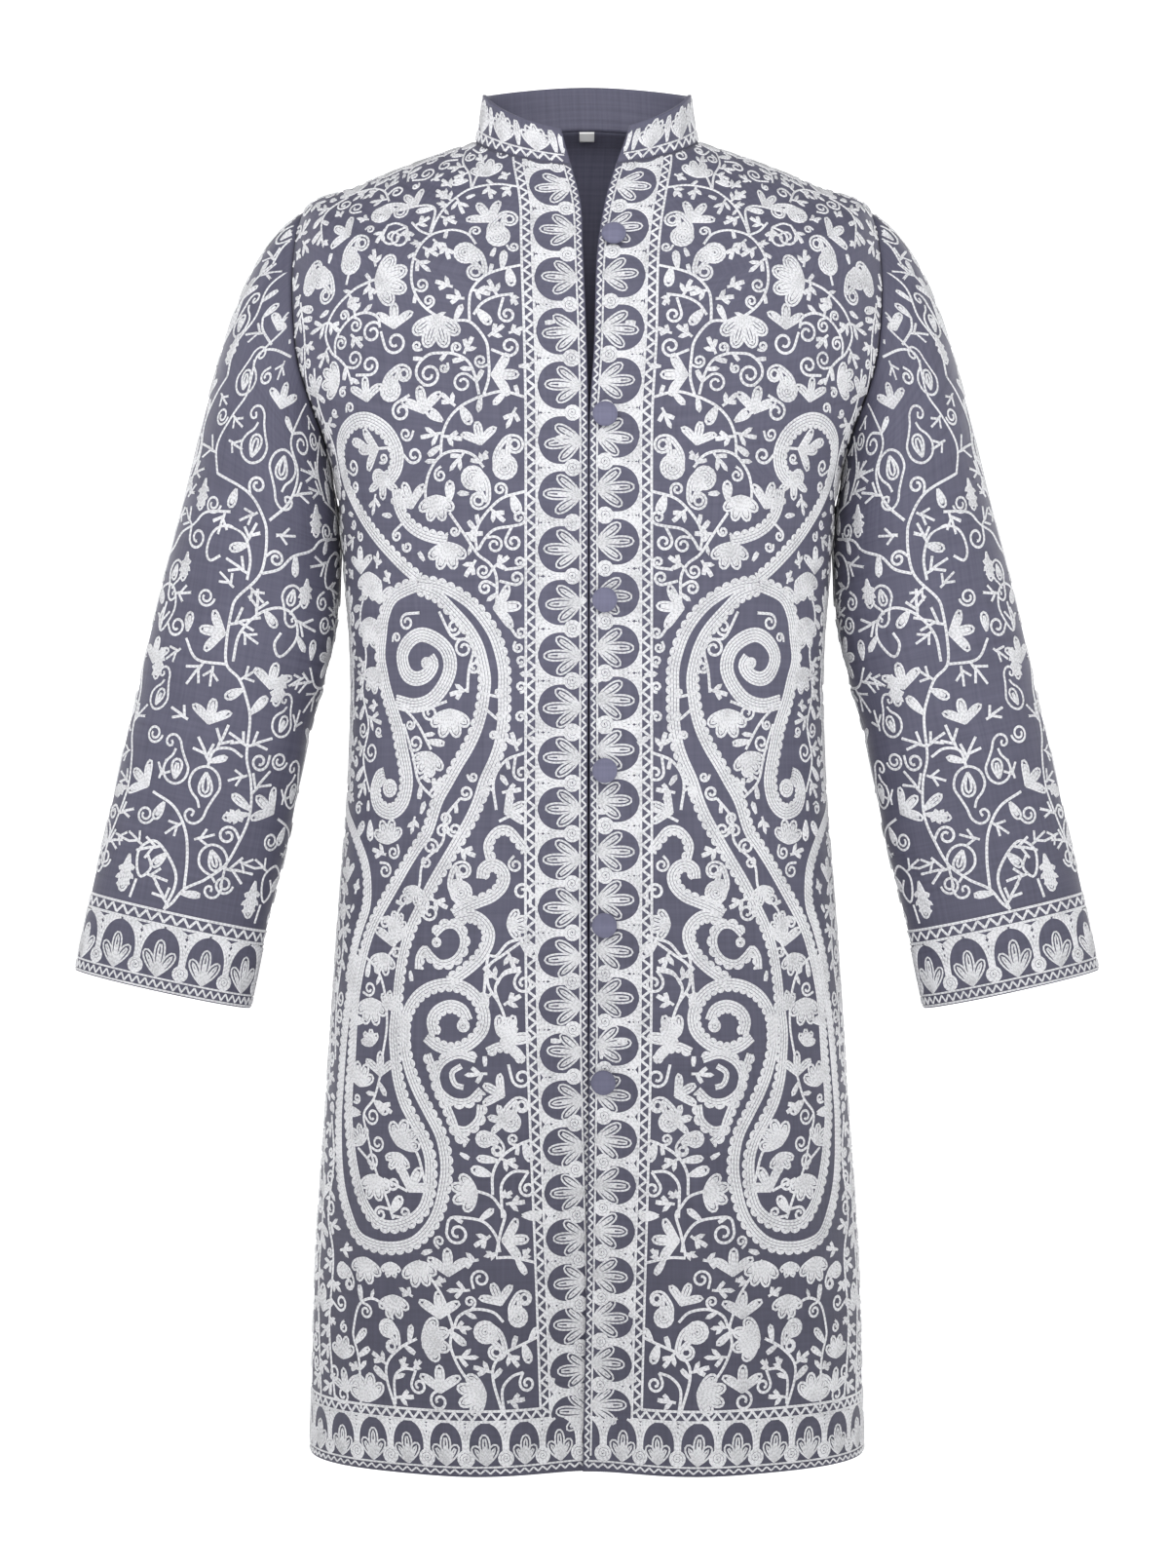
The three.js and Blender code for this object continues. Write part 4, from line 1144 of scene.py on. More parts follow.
def spiral_from(stems, s, t, radius):
    """A tendril round a circle at s, t and inwards, led in from the nearest stem if that is close."""
    p, _ = nearest(stems, s, t)
    d = np.array([s, t], float) - p
    far = max(np.hypot(*d), radius * 1.05)
    start = math.atan2(-d[1], -d[0]) + math.acos(radius / far)
    a = np.linspace(0, 2 * np.pi * CURL_TURNS, 26)[:, None]
    r = radius * (1 - 0.72 * a / a[-1])
    ring = np.hstack([s + r * np.cos(start + a), t + r * np.sin(start + a)])
    lead = p - ring[0]
    length = np.hypot(*lead)
    led = [(ring[0] + lead * min(1, LONGEST_LEAD / length))[None]] if length > 2 and far < NEAR_STEM else []
    return [respaced(np.vstack([*led, ring]), 1.9)]


def paisley(s, t, to_s, to_t, size):
    """A solid paisley with its bulb's centre at s, t, hooking over to a curl at to_s, to_t: the curl lies 17
    degrees to one side of the line that the motif is drawn along."""
    flip, size = to_s < s, 1.13 * size
    turn = math.degrees(math.atan2(to_s - s, t - to_t)) + (17 if flip else -17)
    r, a = 0.27 * size, math.radians(turn)
    return placed(teardrop(size), s - r * math.sin(a), t + r * math.cos(a), turn, flip)


HALF_MOTIF = 7.0  # from a leaf's or a sprig's middle back to its root


def drawing(bands, bulbs, vines, fans, lilies, paisleys, curls, leaves, sprigs, looped=True):
    """A panel's listed motifs as rows: the great bands, the solid flowers, the stems, and what hangs on
    them. A leaf or a sprig is given by its middle."""
    great, solids, stems = [], [], [path(v) for v in vines]
    for count, scallop, points in bands:
        great += band(points, count, scallop)
    for s, t, r in bulbs:
        solids += [q + [s, t] for q in ball(r)]
    for s, t, size, turn in fans:
        solids += placed(fan(size), s, t, turn)
    for s, t, size, turn in lilies:
        solids += placed(lily(size), s, t, turn)
    for place in paisleys:
        solids += paisley(*place)
    hung = [q for s, t, r in curls for q in spiral_from(stems, s, t, r)]
    for places, motif in ((leaves, petal(15, 7.5)), (sprigs, sprig(15, looped))):
        for s, t in places:
            p, turn = nearest(stems, s, t)
            a, reach = math.radians(turn), min(HALF_MOTIF, math.hypot(s - p[0], t - p[1]))
            hung += placed(motif, s - reach * math.sin(a), t + reach * math.cos(a), turn)
    return great, solids, stems, hung


BAND_WIDE = 45.5  # the front band, which nothing else grows into
great, solids, stems, hung = drawing(GREAT_BANDS, BULBS, VINES, FANS, LILIES, PAISLEYS, CURLS, LEAVES, SPRIGS)
taken = Occupied(-10, -90, 310, 1140)
for rows in (hem_fine, hem_full, great, solids, stems, hung):
    taken.add(rows)
taken.taken[taken.cells([down_the_edge(s, -90, 1030) for s in np.arange(0, BAND_WIDE, 1.0)])] = True


def on_panel(motif):
    q = np.vstack(motif)
    return q[:, 0].max() < FRONT_WIDE and q[:, 1].min() > -40 and q[:, 1].max() < 978


growth = sprouts(stems, taken, np.random.default_rng(3))
growth += fillers(taken, np.random.default_rng(5), on_panel, 14000)
for side in ("right", "left"):
    band_fine, band_full = front_border(side)
    stitch_rows("embroidery_front_" + side, band_fine + hem_fine,
                                   band_full + hem_full + great + solids + growth, stems + hung,
                                   on_front(side, front_charts[side]), np.random.default_rng(7))

# The back is worked like the fronts without their band: both halves mirror each other about the middle,
# with the same paisleys brought in by about the band's width, more flowers along the side seams, and the
# hem's border below. The great band that runs out into the side seam of a front ends in a round bulb here.
BROUGHT_IN = 46.0
BACK_BULB = (182, 549, 8.0)


def moved(rows, s, t=0.0):
    return [q + [s, t] for q in rows]


BACK_VINES = (
    ((212, 330), (204, 380), (212, 430), (203, 480), (210, 530), (202, 580), (210, 640), (203, 700),
     (211, 760), (204, 820), (210, 880), (203, 940), (208, 984)),
    ((232, 360), (226, 420), (234, 480), (227, 540), (235, 600), (228, 660), (236, 720), (229, 800),
     (236, 880), (230, 970)),
    ((186, 560), (176, 600), (184, 640), (178, 690), (186, 740), (180, 800), (188, 860), (182, 920),
     (186, 984)),
    ((6, -20), (4, 20), (8, 60), (5, 100), (10, 140)), ((30, -20), (38, 20), (30, 60), (36, 100)),
    ((60, -20), (70, 20), (62, 60), (70, 96)), ((94, -10), (104, 30), (98, 70), (104, 100)),
    ((130, 10), (136, 44), (130, 80), (138, 120)), ((160, 40), (166, 80), (162, 120), (168, 150)),
    ((5, 300), (9, 360), (5, 420), (9, 480), (5, 540), (9, 600), (5, 660), (9, 720), (5, 780), (9, 860),
     (5, 960)),
)
BACK_FANS = (
    (30, 30, 22, 20), (80, 40, 24, -10), (120, 50, 22, 20), (150, 90, 22, 30), (188, 300, 22, 10),
    (210, 380, 24, 170), (232, 470, 24, 10), (190, 500, 22, 180), (206, 560, 22, 0), (230, 650, 24, 170),
    (196, 700, 22, 10), (222, 780, 24, 180), (198, 850, 22, 0), (226, 920, 24, 170),
)
BACK_LILIES = (
    (14, 60, 20, 0), (52, 70, 20, 10), (100, 20, 20, -10), (140, 30, 18, 20), (196, 340, 20, 0),
    (228, 420, 20, 10), (198, 450, 20, -10), (224, 600, 20, 0), (200, 640, 20, 10), (232, 720, 20, -10),
    (200, 780, 20, 0), (232, 850, 20, 0), (200, 930, 20, 10), (12, 200, 20, 0), (14, 960, 20, 0),
)


FROM_MIDDLE = 0.05  # how near stitching comes to the middle from each side


def on_back(side, chart):
    """Lays s, t, height on one half of the back, s running out from its middle."""
    def place(s, t, height):
        down, turn = read_map(chart, s, t)
        shown = np.clip(down, 0, HEM)
        normal = -outward(body_point, np.clip(shown, DOWN_STEP, HEM - DOWN_STEP), turn, DOWN_STEP, TURN_STEP)
        limit = armhole_turn(shown, ARMHOLE_BACK) + FROM_ARMHOLE
        clear = (turn < 2 * np.pi - limit) if side == "left" else (turn > np.pi + limit)
        good = clear & (down >= FROM_TOP) & (down <= HEM - FROM_HEM) & (s > FROM_MIDDLE)
        return body_point(shown, turn) + normal * np.broadcast_to(height, len(s))[:, None], good
    return place


BACK_HALF = 270.0  # from the middle to the side seam
back_fine, back_full = hem_border(BACK_HALF, np.arange(14.1, BACK_HALF, 28.2), (0.0, 0.0, 0.0))
_, new_solids, new_stems, _ = drawing((), (), BACK_VINES, BACK_FANS, BACK_LILIES, (), (), (), ())
shifted, thick = ([q for q in moved(rows, -BROUGHT_IN) if q[:, 0].max() > 0]
                  for rows in (great + solids, stems + hung))
shifted += moved(ball(BACK_BULB[2]), *BACK_BULB[:2])
taken = Occupied(-60, -90, 360, 1140)
for rows in (back_fine, back_full, shifted, thick):
    taken.add(rows)
added = [q for q in new_solids if taken.free([q])]
taken.add(new_stems)
taken.add(added)


def on_half_back(motif):
    return on_panel(motif) and np.vstack(motif)[:, 0].min() > 1


back_growth = sprouts(new_stems, taken, np.random.default_rng(13))
back_growth += fillers(taken, np.random.default_rng(15), on_half_back, 7000)
for side, end in (("right", np.pi - PAST_SIDE), ("left", 2 * np.pi + PAST_SIDE)):
    chart = panel_map(body_point, lambda down: np.full_like(down, 1.5 * np.pi), end)
    stitch_rows("embroidery_back_" + side, back_fine,
                                             back_full + shifted + added + back_growth, thick + new_stems,
                                             on_back(side, chart), np.random.default_rng(9))

# ---- The sleeves -----------------------------------------------------------------------------------------
# Each is one piece of the same silk, seamed under the arm and set into the armhole. The two mirror each
# other. Below the cap a sleeve is a run of tilted rings: the middle of each, its reach across and in depth,
# and its tilt.
SLEEVE = np.array([
    # ring  x      y    z      across deep tilt
    (0,  237.0,    6, -284.5,  59.8,   62, 14.0),
    (1,  243.9,    4, -329.5,  64.5,   57, 13.8),
    (2,  254.3,    2, -376.0,  65.0,   53, 13.5),
    (3,  267.4,   -1, -433.0,  65.0,   50, 13.2),
    (4,  279.4,   -5, -489.5,  65.0,   47, 13.0),
    (5,  292.8,   -9, -546.5,  64.4,   44, 12.8),
    (6,  306.0,  -13, -611.0,  64.5,   41, 12.5)])
CAP, CUFF = -1, 6  # along: where the sleeve starts at the armhole, and where it ends
SLEEVE_CREASES = (
    # along round length reach slant depth
    (2.3, 2.5, 0.35, 0.9, 0.50, 3.4),
    (3.1, 2.2, 0.30, 0.8, 0.45, 2.8),
    (2.7, 4.2, 0.35, 0.9, -0.4, 3.0),
    (1.5, 1.5, 0.30, 0.8, 0.40, 1.3),
    (4.1, 1.7, 0.28, 0.7, 0.35, 1.2),
    (2.6, 0.4, 0.30, 0.7, -0.3, 1.2),
)


def tube_point(ring, turn):
    """The sleeve below its cap: tilted ellipses along the arm, turn 0 outside and a quarter in front, with
    creases as bell-shaped dents."""
    x, y, z, across, deep, tilt = (through(SLEEVE, k, ring) for k in range(1, 7))
    tilt = np.radians(tilt)
    for at, round_at, length, reach, slant, depth in SLEEVE_CREASES:
        dent = depth * np.exp(-(((ring - at - slant * (turn - round_at)) / length) ** 2)
                              - ((turn - round_at) / reach) ** 2)
        across, deep = across - dent, deep - dent
    return np.stack([x + across * np.cos(turn) * np.cos(tilt), y - deep * np.sin(turn),
                     z + across * np.cos(turn) * np.sin(tilt)], -1)


CAP_OUTWARDS, CAP_FORWARDS, CAP_DOWN = 0.45, 0.2, 0.55  # which way the cap leaves the armhole
UNDER_APART = 2   # how much more it stands off the armhole's edge under the arm
ARRIVES_FROM = 0.2  # the place below the first ring that the cap runs towards
RUN_FROM_ARMHOLE, RUN_TO_RING = 0.26, 0.38  # how far it runs straight at its ends, as shares of its length


def cap_point(along, turn):
    """The cap: a cubic from each point of the armhole (0) to the first ring (1)."""
    ahead = turn <= np.pi
    share = np.where(ahead, turn / np.pi, (2 * np.pi - turn) / np.pi)
    down = SHOULDER_TIP + share * (ARMPIT - SHOULDER_TIP)
    round_at = np.where(ahead, armhole_turn(down, ARMHOLE_FRONT), -armhole_turn(down, ARMHOLE_BACK))
    edge = body_point(down, round_at)
    normal = -outward(body_point, down, round_at + 0.001, DOWN_STEP, 0.001)
    under = (1 - np.cos(turn)) / 2
    leaving = unit(np.stack([CAP_OUTWARDS * (1 + np.cos(turn)), -CAP_FORWARDS * np.sin(turn),
                             -CAP_DOWN - (1 - CAP_DOWN) * under], -1))
    start = edge + SEAM_GAP * unit(leaving + UNDER_APART * under[..., None] * normal)
    end = tube_point(0.0 * turn, turn)
    arriving = unit(tube_point(ARRIVES_FROM + 0 * turn, turn) - end)
    far = np.linalg.norm(end - start, axis=-1, keepdims=True)
    near, later = start + RUN_FROM_ARMHOLE * far * leaving, end - RUN_TO_RING * far * arriving
    u = along[..., None]
    return (1 - u) ** 3 * start + 3 * u * (1 - u) ** 2 * near + 3 * u**2 * (1 - u) * later + u**3 * end


def sleeve_point(along, turn):
    """The whole sleeve: along runs from -1 at the armhole to 0 on the cap, then to 6 at the cuff."""
    along, turn = np.broadcast_arrays(np.asarray(along, float), np.mod(np.asarray(turn, float), 2 * np.pi))
    cap = cap_point(np.clip(along - CAP, 0, 1), turn)
    return np.where((along < 0)[..., None], cap, tube_point(np.clip(along, 0, CUFF), turn))


ALONG_STEP, FROM_ENDS = 0.004, 0.005  # the small step along a sleeve, and how far inside its ends it is taken
HALF_SEAM = 0.0008                    # half the seam under the arm, in radians round the sleeve
SLEEVE_ROWS = np.concatenate([np.linspace(CAP, 0, 28)[:-1], np.linspace(0, CUFF, 80)])
SLEEVE_TURNS = np.linspace(-np.pi + HALF_SEAM, np.pi - HALF_SEAM, 73)
MIRROR = np.array([-1, 1, 1])


def sleeve_normal(along, turn):
    """The sleeve's outward normal, taken a little inside its two ends."""
    inside = np.clip(along, CAP + FROM_ENDS, CUFF - FROM_ENDS)
    return -outward(sleeve_point, inside, turn, ALONG_STEP, TURN_STEP)


def set_in_sleeve(side):
    """The left sleeve's grid, or its mirror image for the right one."""
    rows, turn = np.meshgrid(SLEEVE_ROWS, SLEEVE_TURNS[::-1], indexing="ij")
    outer = sleeve_point(rows, turn)
    normal = sleeve_normal(rows, turn)
    if side == "right":
        outer, normal = (outer * MIRROR)[:, ::-1], (normal * MIRROR)[:, ::-1]
    piece = cloth_shell("silk_sleeve_" + side, outer, normal, CLOTH, cloth_uv(outer), silk)
    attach(piece, "root")
    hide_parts("sleeve_" + side)
    return piece


sleeves = {side: set_in_sleeve(side) for side in ("right", "left")}


def sleeve_map():
    """The sleeve laid flat: s runs round from the front of the arm, positive towards its outside, and t down
    to the cuff's edge, 0 there and negative above."""
    across = np.arange(-120, 301, 5.0)
    away = np.linspace(-2.2, 5.2, 740)  # in radians from the front of the arm
    p = sleeve_point(SLEEVE_ROWS[:, None], np.pi / 2 - away[None])
    turn = np.array([np.interp(across, r - np.interp(0, away, r), np.pi / 2 - away) for r in run_along(p, 1)])
    fall = run_along(sleeve_point(np.broadcast_to(SLEEVE_ROWS[:, None], turn.shape), turn), 0)
    fall -= fall[-1]
    t = np.arange(-680, 5, 4.0)
    along_at = np.array([np.interp(t, f, SLEEVE_ROWS, left=-2, right=7) for f in fall.T]).T
    turn_at = np.array([np.interp(a, SLEEVE_ROWS, b) for a, b in zip(along_at.T, turn.T)]).T
    return across, t, along_at, turn_at


SLEEVE_CHART = sleeve_map()


# How near stitching comes to the armhole (along), to the cuff's edge, and to the seam (in radians).
FROM_CAP, FROM_CUFF, FROM_SEAM = 0.015, 0.3, 0.02


def on_sleeve(side):
    """Lays s, t, height on a sleeve: the cloth's point there, raised along its normal."""
    def place(s, t, height):
        along, turn = read_map(SLEEVE_CHART, s, t)
        shown = np.clip(along, CAP, CUFF)
        p = sleeve_point(shown, turn) + sleeve_normal(shown, turn) * np.broadcast_to(height, len(s))[:, None]
        good = (along > CAP + FROM_CAP) & (t < -FROM_CUFF) & (np.abs(turn) < np.pi - FROM_SEAM)
        return (p if side == "left" else p * MIRROR), good
    return place


# The sleeve's pattern comes round every 97 mm: winding stems with open paisleys, rings, hanging leaves and
# lilies.
REPEAT = 97.0
RING_RADIUS = 7.0
SLEEVE_VINES = (
    ((7, -58), (3, -74), (5, -86), (16, -99), (26, -104), (35, -96), (34, -84), (29, -77), (23, -85),
     (28, -94)),
    ((34, -61), (32, -75)), ((7, -58), (2, -64), (-4, -75), (-16, -84)),
    ((-4, -75), (-1, -97), (5, -116), (17, -131), (35, -138)),
    ((-16, -84), (-28, -97), (-34, -115), (-38, -137), (-34, -160), (-27, -177), (-23, -204), (-17, -218),
     (-9, -230), (2, -238), (6, -256), (7, -276), (5, -286), (-6, -301), (-10, -312), (-10, -330), (-6, -345),
     (8, -361), (37, -370)),
    ((-1, -163), (-3, -176), (-14, -180), (-24, -176)), ((2, -238), (24, -237), (36, -250)),
    ((-2, -241), (-2, -261), (-12, -278), (-26, -286), (-38, -283), (-44, -270), (-39, -257), (-33, -252),
     (-28, -260), (-31, -269)),
    ((0, -300), (0, -316), (7, -331), (21, -335), (31, -328), (34, -315), (30, -308), (22, -313)),
    ((-78, -345), (-56, -341), (-45, -331), (-31, -324), (-22, -313), (-10, -307)),
    ((37, -370), (44, -390), (36, -412), (28, -428), (29, -442), (32, -455), (29, -462), (18, -465),
     (-2, -463)),
    ((23, -468), (40, -478), (47, -487)),
    ((-10, -345), (-24, -362), (-30, -384), (-22, -404), (-30, -424), (-40, -440)),
    ((29, -462), (20, -484), (26, -508), (18, -532), (24, -560)),
    ((-2, -463), (-14, -480), (-8, -504), (-18, -530)),
    ((-40, -440), (-34, -462), (-42, -486), (-34, -512), (-42, -540)),
    ((24, -560), (14, -580), (22, -604), (12, -630), (18, -660)),
    ((-18, -530), (-10, -552), (-20, -576), (-12, -604), (-22, -640)),
    ((-42, -540), (-34, -566), (-44, -590), (-36, -620), (-42, -655)),
)
RINGS = ((37, -121), (28, -282), (35, -348), (47, -411), (39, -512), (-31, -84), (44, -179))
OPEN_PAISLEYS = (
    # s, t of the root, size, turn, mirrored
    (-1, -164, 43, 180, True), (-17, -397, 43, 180, False), (10, -382, 42, 0, False),
    (-15, -110, 39, 200, True), (50, -196, 32, -8, False), (20, -147, 36, 10, False), (33, -428, 38, 0, True),
    (-35, -304, 30, 180, False), (2, -470, 38, -8, False), (-30, -470, 36, 10, True), (0, -548, 36, 0, False),
    (38, -590, 36, 10, True), (-28, -628, 34, 180, False), (2, -618, 34, 0, True),
)
HANGING_LEAVES = (
    # s, t of the root, size, turn
    (42, -91, 28, 180), (-37, -137, 20, 110), (48, -365, 24, 180), (-45, -311, 22, 180), (-32, -472, 24, 180),
    (-40, -240, 24, 180), (14, -520, 22, 170), (-20, -546, 20, 10), (42, -545, 22, 180),
)
SLEEVE_LILIES = (
    (40, -141, 20, 60), (8, -259, 20, 90), (-33, -228, 20, 0), (-8, -425, 20, 0), (25, -480, 20, 0),
    (5, -194, 19, 0), (-8, -500, 18, 0),
)
SLEEVE_LEAVES = (
    (27, -126), (18, -92), (9, -322), (19, -355), (-18, -280), (-8, -219), (37, -262), (45, -492),
)
SLEEVE_SPRIGS = (
    (40, -103), (12, -118), (31, -155), (-9, -114), (-24, -161), (-44, -101), (-8, -261), (-15, -234),
    (11, -228), (-7, -292), (14, -297), (5, -345), (-23, -337), (44, -238), (3, -452), (33, -411), (26, -392),
    (-45, -423),
)
CUFF_DEPTHS = {"palmette": 10.3, "length": 26.5, "lean": 31, "share": 0.8, "ball": 15.3, "pillar": 20.3,
               "reach": 25.5, "oval": 20.6}


ROUND_FROM, ROUND_TO = -100, 285  # s from one side of the seam under the arm round to the other


def round_cuff(t):
    """A line round the sleeve at t, which runs a little past the seam at both ends."""
    return np.stack([np.linspace(ROUND_FROM - 10, ROUND_TO + 11, 156), np.full(156, float(t))], 1)


sleeve_fine, sleeve_full = border(3 + 33.0 * np.arange(-3, 9), lambda c, x: (c, -x), CUFF_DEPTHS,
                                  np.random.default_rng(45))
sleeve_fine += zigzag(round_cuff(-5.2), 5.0, 6.0) + [round_cuff(-1.4), round_cuff(-9.2)]
sleeve_full += zigzag(round_cuff(-51.8), 6.0, 9.2) + [round_cuff(-47.0), round_cuff(-56.4)]
_, motifs, runners, hung_on = drawing((), (), SLEEVE_VINES, (), SLEEVE_LILIES, (), (), SLEEVE_LEAVES,
                                      SLEEVE_SPRIGS, looped=False)
for s, t, size, turn in HANGING_LEAVES:
    motifs += placed(ragged_leaf(size), s, t, turn)
for s, t, size, turn, flip in OPEN_PAISLEYS:
    motifs += placed(leaf_paisley(size), s, t, turn, flip)
for s, t in RINGS:
    motifs += moved(curl(RING_RADIUS, 1.6), s - RING_RADIUS, t)
spread, runners = ([q for k in (-1, 0, 1, 2, 3) for q in moved(rows, k * REPEAT)]
                   for rows in (motifs + hung_on, runners))
MAP_TOP, CUFF_BORDER = -720, -58  # t where the map of taken squares starts, and the top of the cuff's border
taken = Occupied(-150, MAP_TOP, 500, 740)
for rows in (sleeve_fine, sleeve_full, spread, runners):
    taken.add(rows)
taken.taken[:, int((CUFF_BORDER - MAP_TOP) / taken.CELL):] = True


def on_sleeve_cloth(motif):
    q = np.vstack(motif)
    return (q[:, 0].min() > ROUND_FROM and q[:, 0].max() < ROUND_TO
            and q[:, 1].max() < CUFF_BORDER - 2 and q[:, 1].min() > -670)


seen = [q for q in runners if q[:, 0].max() > ROUND_FROM and q[:, 0].min() < ROUND_TO]
twigs = sprouts(seen, taken, np.random.default_rng(21), looped=False, every=13.0, sizes=(22.0, 18.0))
twigs += fillers(taken, np.random.default_rng(25), on_sleeve_cloth, 2000, looped=False, sizes=(20.0, 16.0))
for side in ("right", "left"):
    stitch_rows("embroidery_sleeve_" + side, sleeve_fine,
                                               sleeve_full + spread, runners + twigs, on_sleeve(side),
                                               np.random.default_rng(11))

# ---- The collar ------------------------------------------------------------------------------------------
# A stand collar, open at the throat: two layers of the same silk on a stiffener, turned in at the top edge
# and the two ends, and sewn into the neck seam of the fronts and the back.
COLLAR_CLOTH = 2.4  # its whole thickness
COLLAR_ENDS = edge_turn(0.0, "right"), 2 * np.pi + edge_turn(0.0, "left")
COLLAR_OPENS = (-19.6, 32.0)  # how far across from the middle its two top corners are
COLLAR_SIDE, COLLAR_FRONT, COLLAR_BACK = 34.5, 25, 31  # its height
DRAWN_IN, DRAWN_IN_FRONT = 0.06, 0.03  # how far its top is drawn in, and how much more in front
COLLAR_STEP = 0.01  # the small step round the neck, in radians, and up the collar, as a share of its height


def collar_point(round_at, up):
    """Round the neck from the right end to the left one, and up from the seam (0) to the top edge (1), drawn
    in towards the top as the sine of a quarter turn."""
    round_at, up = np.broadcast_arrays(np.asarray(round_at, float), np.asarray(up, float))
    first, last = COLLAR_ENDS
    half = through(BODY, HALF, 0.0)
    opens = np.arccos(COLLAR_OPENS[0] / half), 2 * np.pi + np.arccos(COLLAR_OPENS[1] / half)
    share = (round_at - first) / (last - first)
    turn = round_at * (1 - up) + (opens[0] + (opens[1] - opens[0]) * share) * up
    base = body_point(0.0 * turn, turn)
    front, behind = np.maximum(np.sin(turn), 0), np.maximum(-np.sin(turn), 0)
    height = COLLAR_SIDE + (COLLAR_FRONT - COLLAR_SIDE) * front**2 + (COLLAR_BACK - COLLAR_SIDE) * behind**2
    drawn = np.sin(up * np.pi / 2)
    return np.stack([base[..., 0] * (1 - DRAWN_IN * drawn),
                     base[..., 1] * (1 - (DRAWN_IN + DRAWN_IN_FRONT * front) * drawn),
                     base[..., 2] + 0.05 + height * up], -1)


def collar_normal(round_at, up):
    """The collar's outward normal, taken a little inside its ends and edges."""
    inside = np.clip(round_at, COLLAR_ENDS[0] + COLLAR_STEP, COLLAR_ENDS[1] - COLLAR_STEP)
    return -outward(collar_point, inside, np.clip(up, COLLAR_STEP, 1 - COLLAR_STEP), COLLAR_STEP, COLLAR_STEP)


ups, rounds = np.meshgrid(np.linspace(1, 0, 14), np.linspace(*COLLAR_ENDS, 181), indexing="ij")
outer, normal = collar_point(rounds, ups)[:, ::-1], collar_normal(rounds, ups)[:, ::-1]
collar = cloth_shell("silk_collar", outer, normal, COLLAR_CLOTH, cloth_uv(outer), silk)
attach(collar, "root")
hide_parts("collar")

# Its embroidery: upright flowers with a single petal between each two, over a zigzag between lines. s runs
# round the middle of the collar from its right end, and t down from its top edge, over one drawn height.
collar_turns = np.linspace(*COLLAR_ENDS, 400)
collar_run = run_along(collar_point(collar_turns, 0.5), 0)
COLLAR_LONG, COLLAR_DRAWN = collar_run[-1], 31.0
FROM_COLLAR_EDGE, FROM_COLLAR_END = 0.012, 0.8  # how near stitching comes, as a share and in millimetres


def on_collar(s, t, height):
    """Lays s, t, height on the collar: its point there, raised along its normal."""
    round_at = np.interp(s, collar_run, collar_turns)
    up = 1 - t / COLLAR_DRAWN
    shown = np.clip(up, 0, 1)
    good = ((up > FROM_COLLAR_EDGE) & (up < 1 - FROM_COLLAR_EDGE)
            & (s > FROM_COLLAR_END) & (s < COLLAR_LONG - FROM_COLLAR_END))
    raised = collar_normal(round_at, shown) * np.broadcast_to(height, len(s))[:, None]
    return collar_point(round_at, shown) + raised, good


def round_collar(t):
    return np.stack([np.linspace(0.5, COLLAR_LONG - 0.5, 170), np.full(170, float(t))], 1)


collar_fine = [round_collar(23.4), round_collar(30.0)]
collar_full = zigzag(round_collar(26.7), 5.2, 8.6)
FLOWERS_FROM = 8  # the first flower's side, and the same at the far end
COLLAR_FLOWERS = round(COLLAR_LONG / 29.0)
flower_wide = (COLLAR_LONG - 2 * FLOWERS_FROM) / COLLAR_FLOWERS
for k in range(COLLAR_FLOWERS):
    collar_full += placed(fan(21.5, 5, 38.0), FLOWERS_FROM + (k + 0.5) * flower_wide, 22.6)
    collar_full += placed(petal(19.5, 6.0), FLOWERS_FROM + k * flower_wide, 22.0, 3)
for s, lean in ((3.4, -6), (COLLAR_LONG - 3.4, 6), (COLLAR_LONG - 9.0, 3)):
    collar_full += placed(petal(18.0, 5.0), s, 22.0, lean)
stitch_rows("embroidery_collar", collar_fine, collar_full, [], on_collar,
                                   np.random.default_rng(31))

# ---- The label -------------------------------------------------------------------------------------------
# A small plain white woven tab, stitched by its top edge to the inside of the back, just under the collar,
# so that it hangs a little clear of the silk.
white = plain_material("label_white", (0.86, 0.86, 0.86), 0.8)
LABEL_WIDE, LABEL_DROP, LABEL_THICK, LABEL_BELOW = 11.0, 10.0, 0.8, 2.0
LABEL_CLEAR = 1.2  # between the inside of the back and the label's nearer face
CENTRE_BACK = 1.5 * np.pi
down, across = np.meshgrid(np.linspace(0, 1, 9), np.linspace(-1, 1, 11), indexing="ij")
middle_down = LABEL_BELOW + LABEL_DROP / 2
centre = body_point(middle_down, CENTRE_BACK)
out = -outward(body_point, middle_down, CENTRE_BACK, DOWN_STEP, TURN_STEP)
down_way = unit(body_point(10.0, CENTRE_BACK) - body_point(0.0, CENTRE_BACK))
face = (centre - out * (CLOTH + LABEL_CLEAR) + across[..., None] * np.array([LABEL_WIDE / 2, 0, 0])
        + (down[..., None] - 0.5) * LABEL_DROP * down_way)
label = cloth_shell("neck_label", face, np.broadcast_to(out, face.shape), LABEL_THICK, cloth_uv(face), white)
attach(label, "root")
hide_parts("label")

# ---- The buttons -----------------------------------------------------------------------------------------
# Six domes covered in a lighter silk that is gathered under the rim. Each is sewn on by a short shank, in a
# row down the left front, a little in from its free edge.
button_silk = slub_silk("button_silk", colour=(0.11, 0.11, 0.16), darker=(0.095, 0.095, 0.145),
                        lighter=(0.135, 0.135, 0.20))
BUTTONS_AT = (84, 249, 414, 532, 640, 750)  # down the front
BUTTON_INSET = 10.5                         # from the free edge
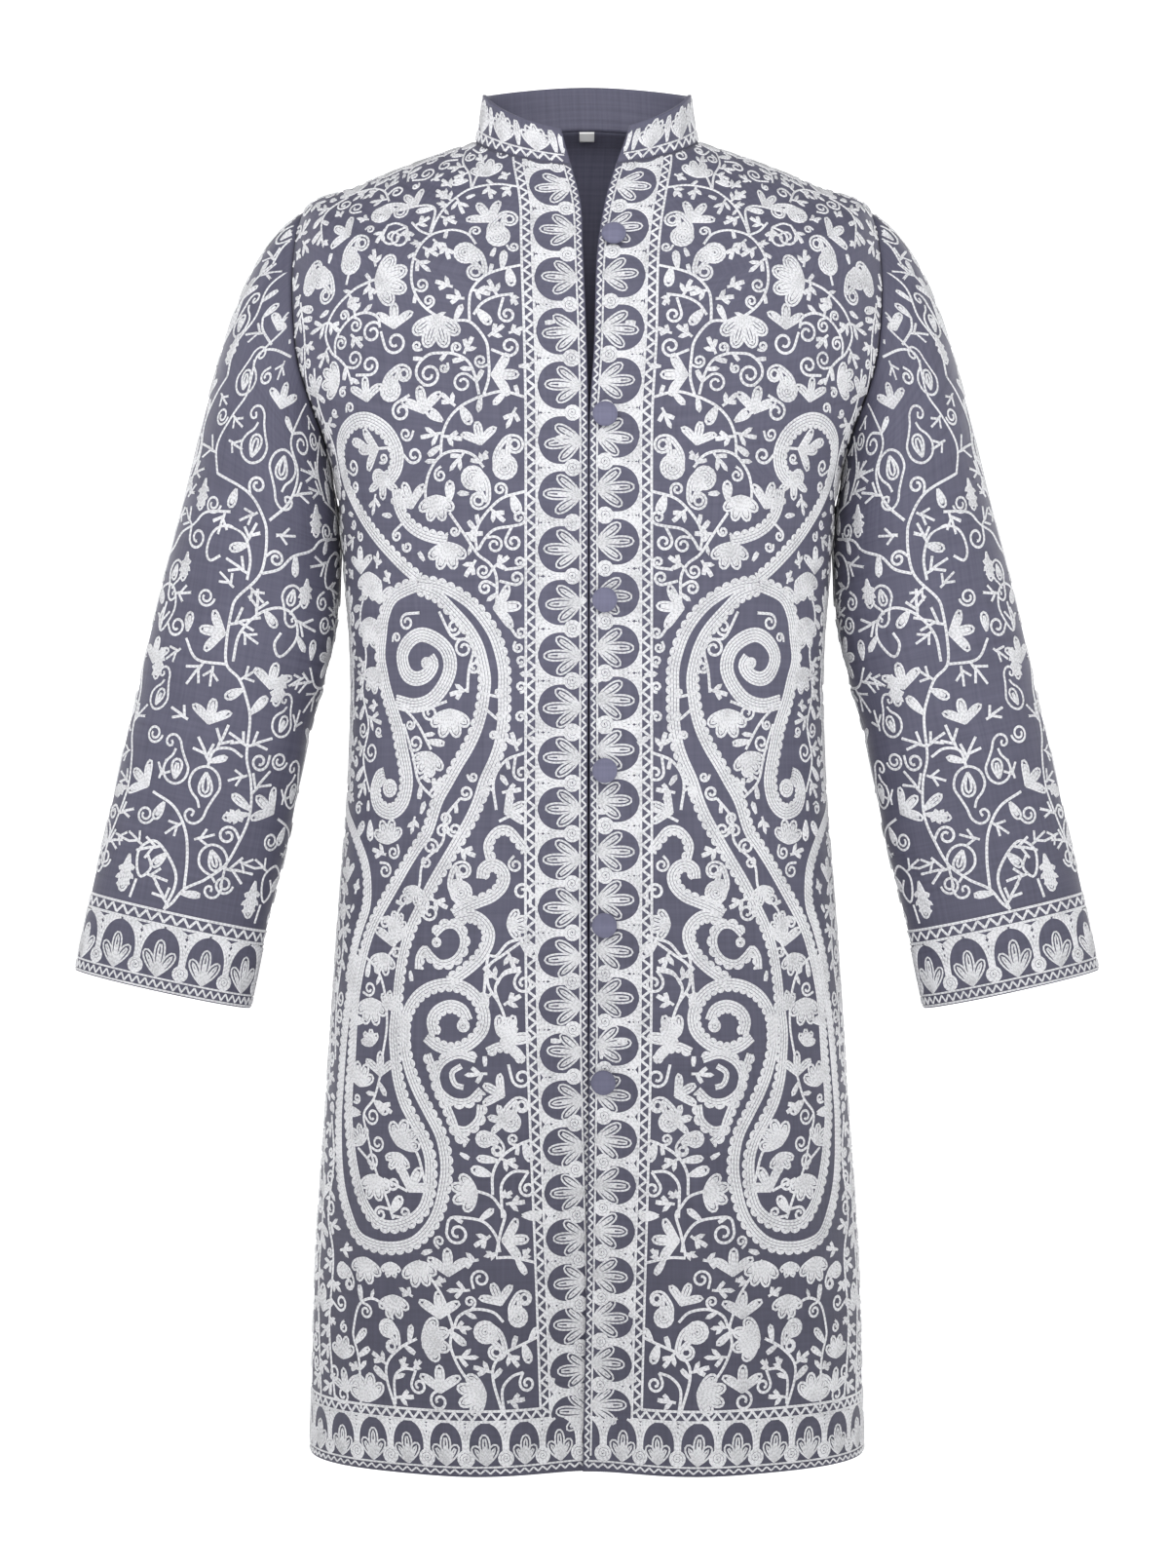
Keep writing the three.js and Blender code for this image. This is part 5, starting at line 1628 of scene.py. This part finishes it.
# Its radius, how high the dome stands over its widest place, how far that is above the shank, how deep the
# silk rolls under, the flat underside's radius, and the shank's height and radius.
RADIUS, CROWN, RIM, ROLL, UNDERSIDE, SHANK, SHANK_RADIUS = 8.8, 4.2, 1.4, 2.4, 7.04, 2.6, 2.6
DOME_FROM = -0.4  # where the dome's profile starts under its rim, as a share of a quarter turn
# How many gathers, their depth as a share of the radius, how high up they fade, and the radius they start at.
GATHERS, GATHER_DEEP, GATHER_HIGH, GATHERED_OUTSIDE = 24, 0.012, 1.6, 5
AXIS_HOLE = 0.01  # the profile stops this far from the axis
rise = np.linspace(DOME_FROM, 1, 14) * np.pi / 2
dome = np.stack([np.maximum(RADIUS * np.cos(rise), AXIS_HOLE),
                 SHANK + RIM + np.where(rise < 0, ROLL, CROWN) * np.sin(rise)], 1)
shank = [[AXIS_HOLE, SEAM_GAP], [SHANK_RADIUS, SEAM_GAP], [SHANK_RADIUS, SHANK], [UNDERSIDE, SHANK]]
profile = np.vstack([shank, dome])
far_out, up = profile[:, :1], profile[:, 1:]
spin = np.linspace(0, 2 * np.pi, 73)
near_rim = np.exp(-(((up - SHANK) / GATHER_HIGH) ** 2)) * (far_out > GATHERED_OUTSIDE)
gather = 1 + GATHER_DEEP * np.cos(GATHERS * spin) * near_rim
button_x = far_out * gather * np.cos(spin)
button_y = far_out * gather * np.sin(spin)
for number, down_at in enumerate(BUTTONS_AT, 1):
    # The turn at which the cloth lies the inset away from the edge is read from a line of points across it.
    turns_near = np.linspace(1.2, 1.56, 200)
    line = front_at("left", np.full(200, float(down_at)), turns_near)
    inset_at = edge_across(float(down_at), "left") + BUTTON_INSET
    at = np.array(float(down_at)), np.interp(-inset_at, -line[:, 0], turns_near)
    out = -outward(lambda down, turn: front_at("left", down, turn), *at, DOWN_STEP, TURN_STEP)
    right = unit(np.array([1.0, 0, 0]) - out * out[0])
    upwards = np.cross(out, right)
    points = (front_at("left", *at) + button_x[..., None] * right + button_y[..., None] * upwards
              + up[..., None] * out)
    uv = np.stack([button_x + 30 * number, button_y], -1).reshape(-1, 2) * MM
    button = mesh_piece(f"covered_button_{number}", points.reshape(-1, 3) * MM,
                        grid_faces(*button_x.shape), button_silk, uv)
    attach(button, "root")
    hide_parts(f"button_{number}")
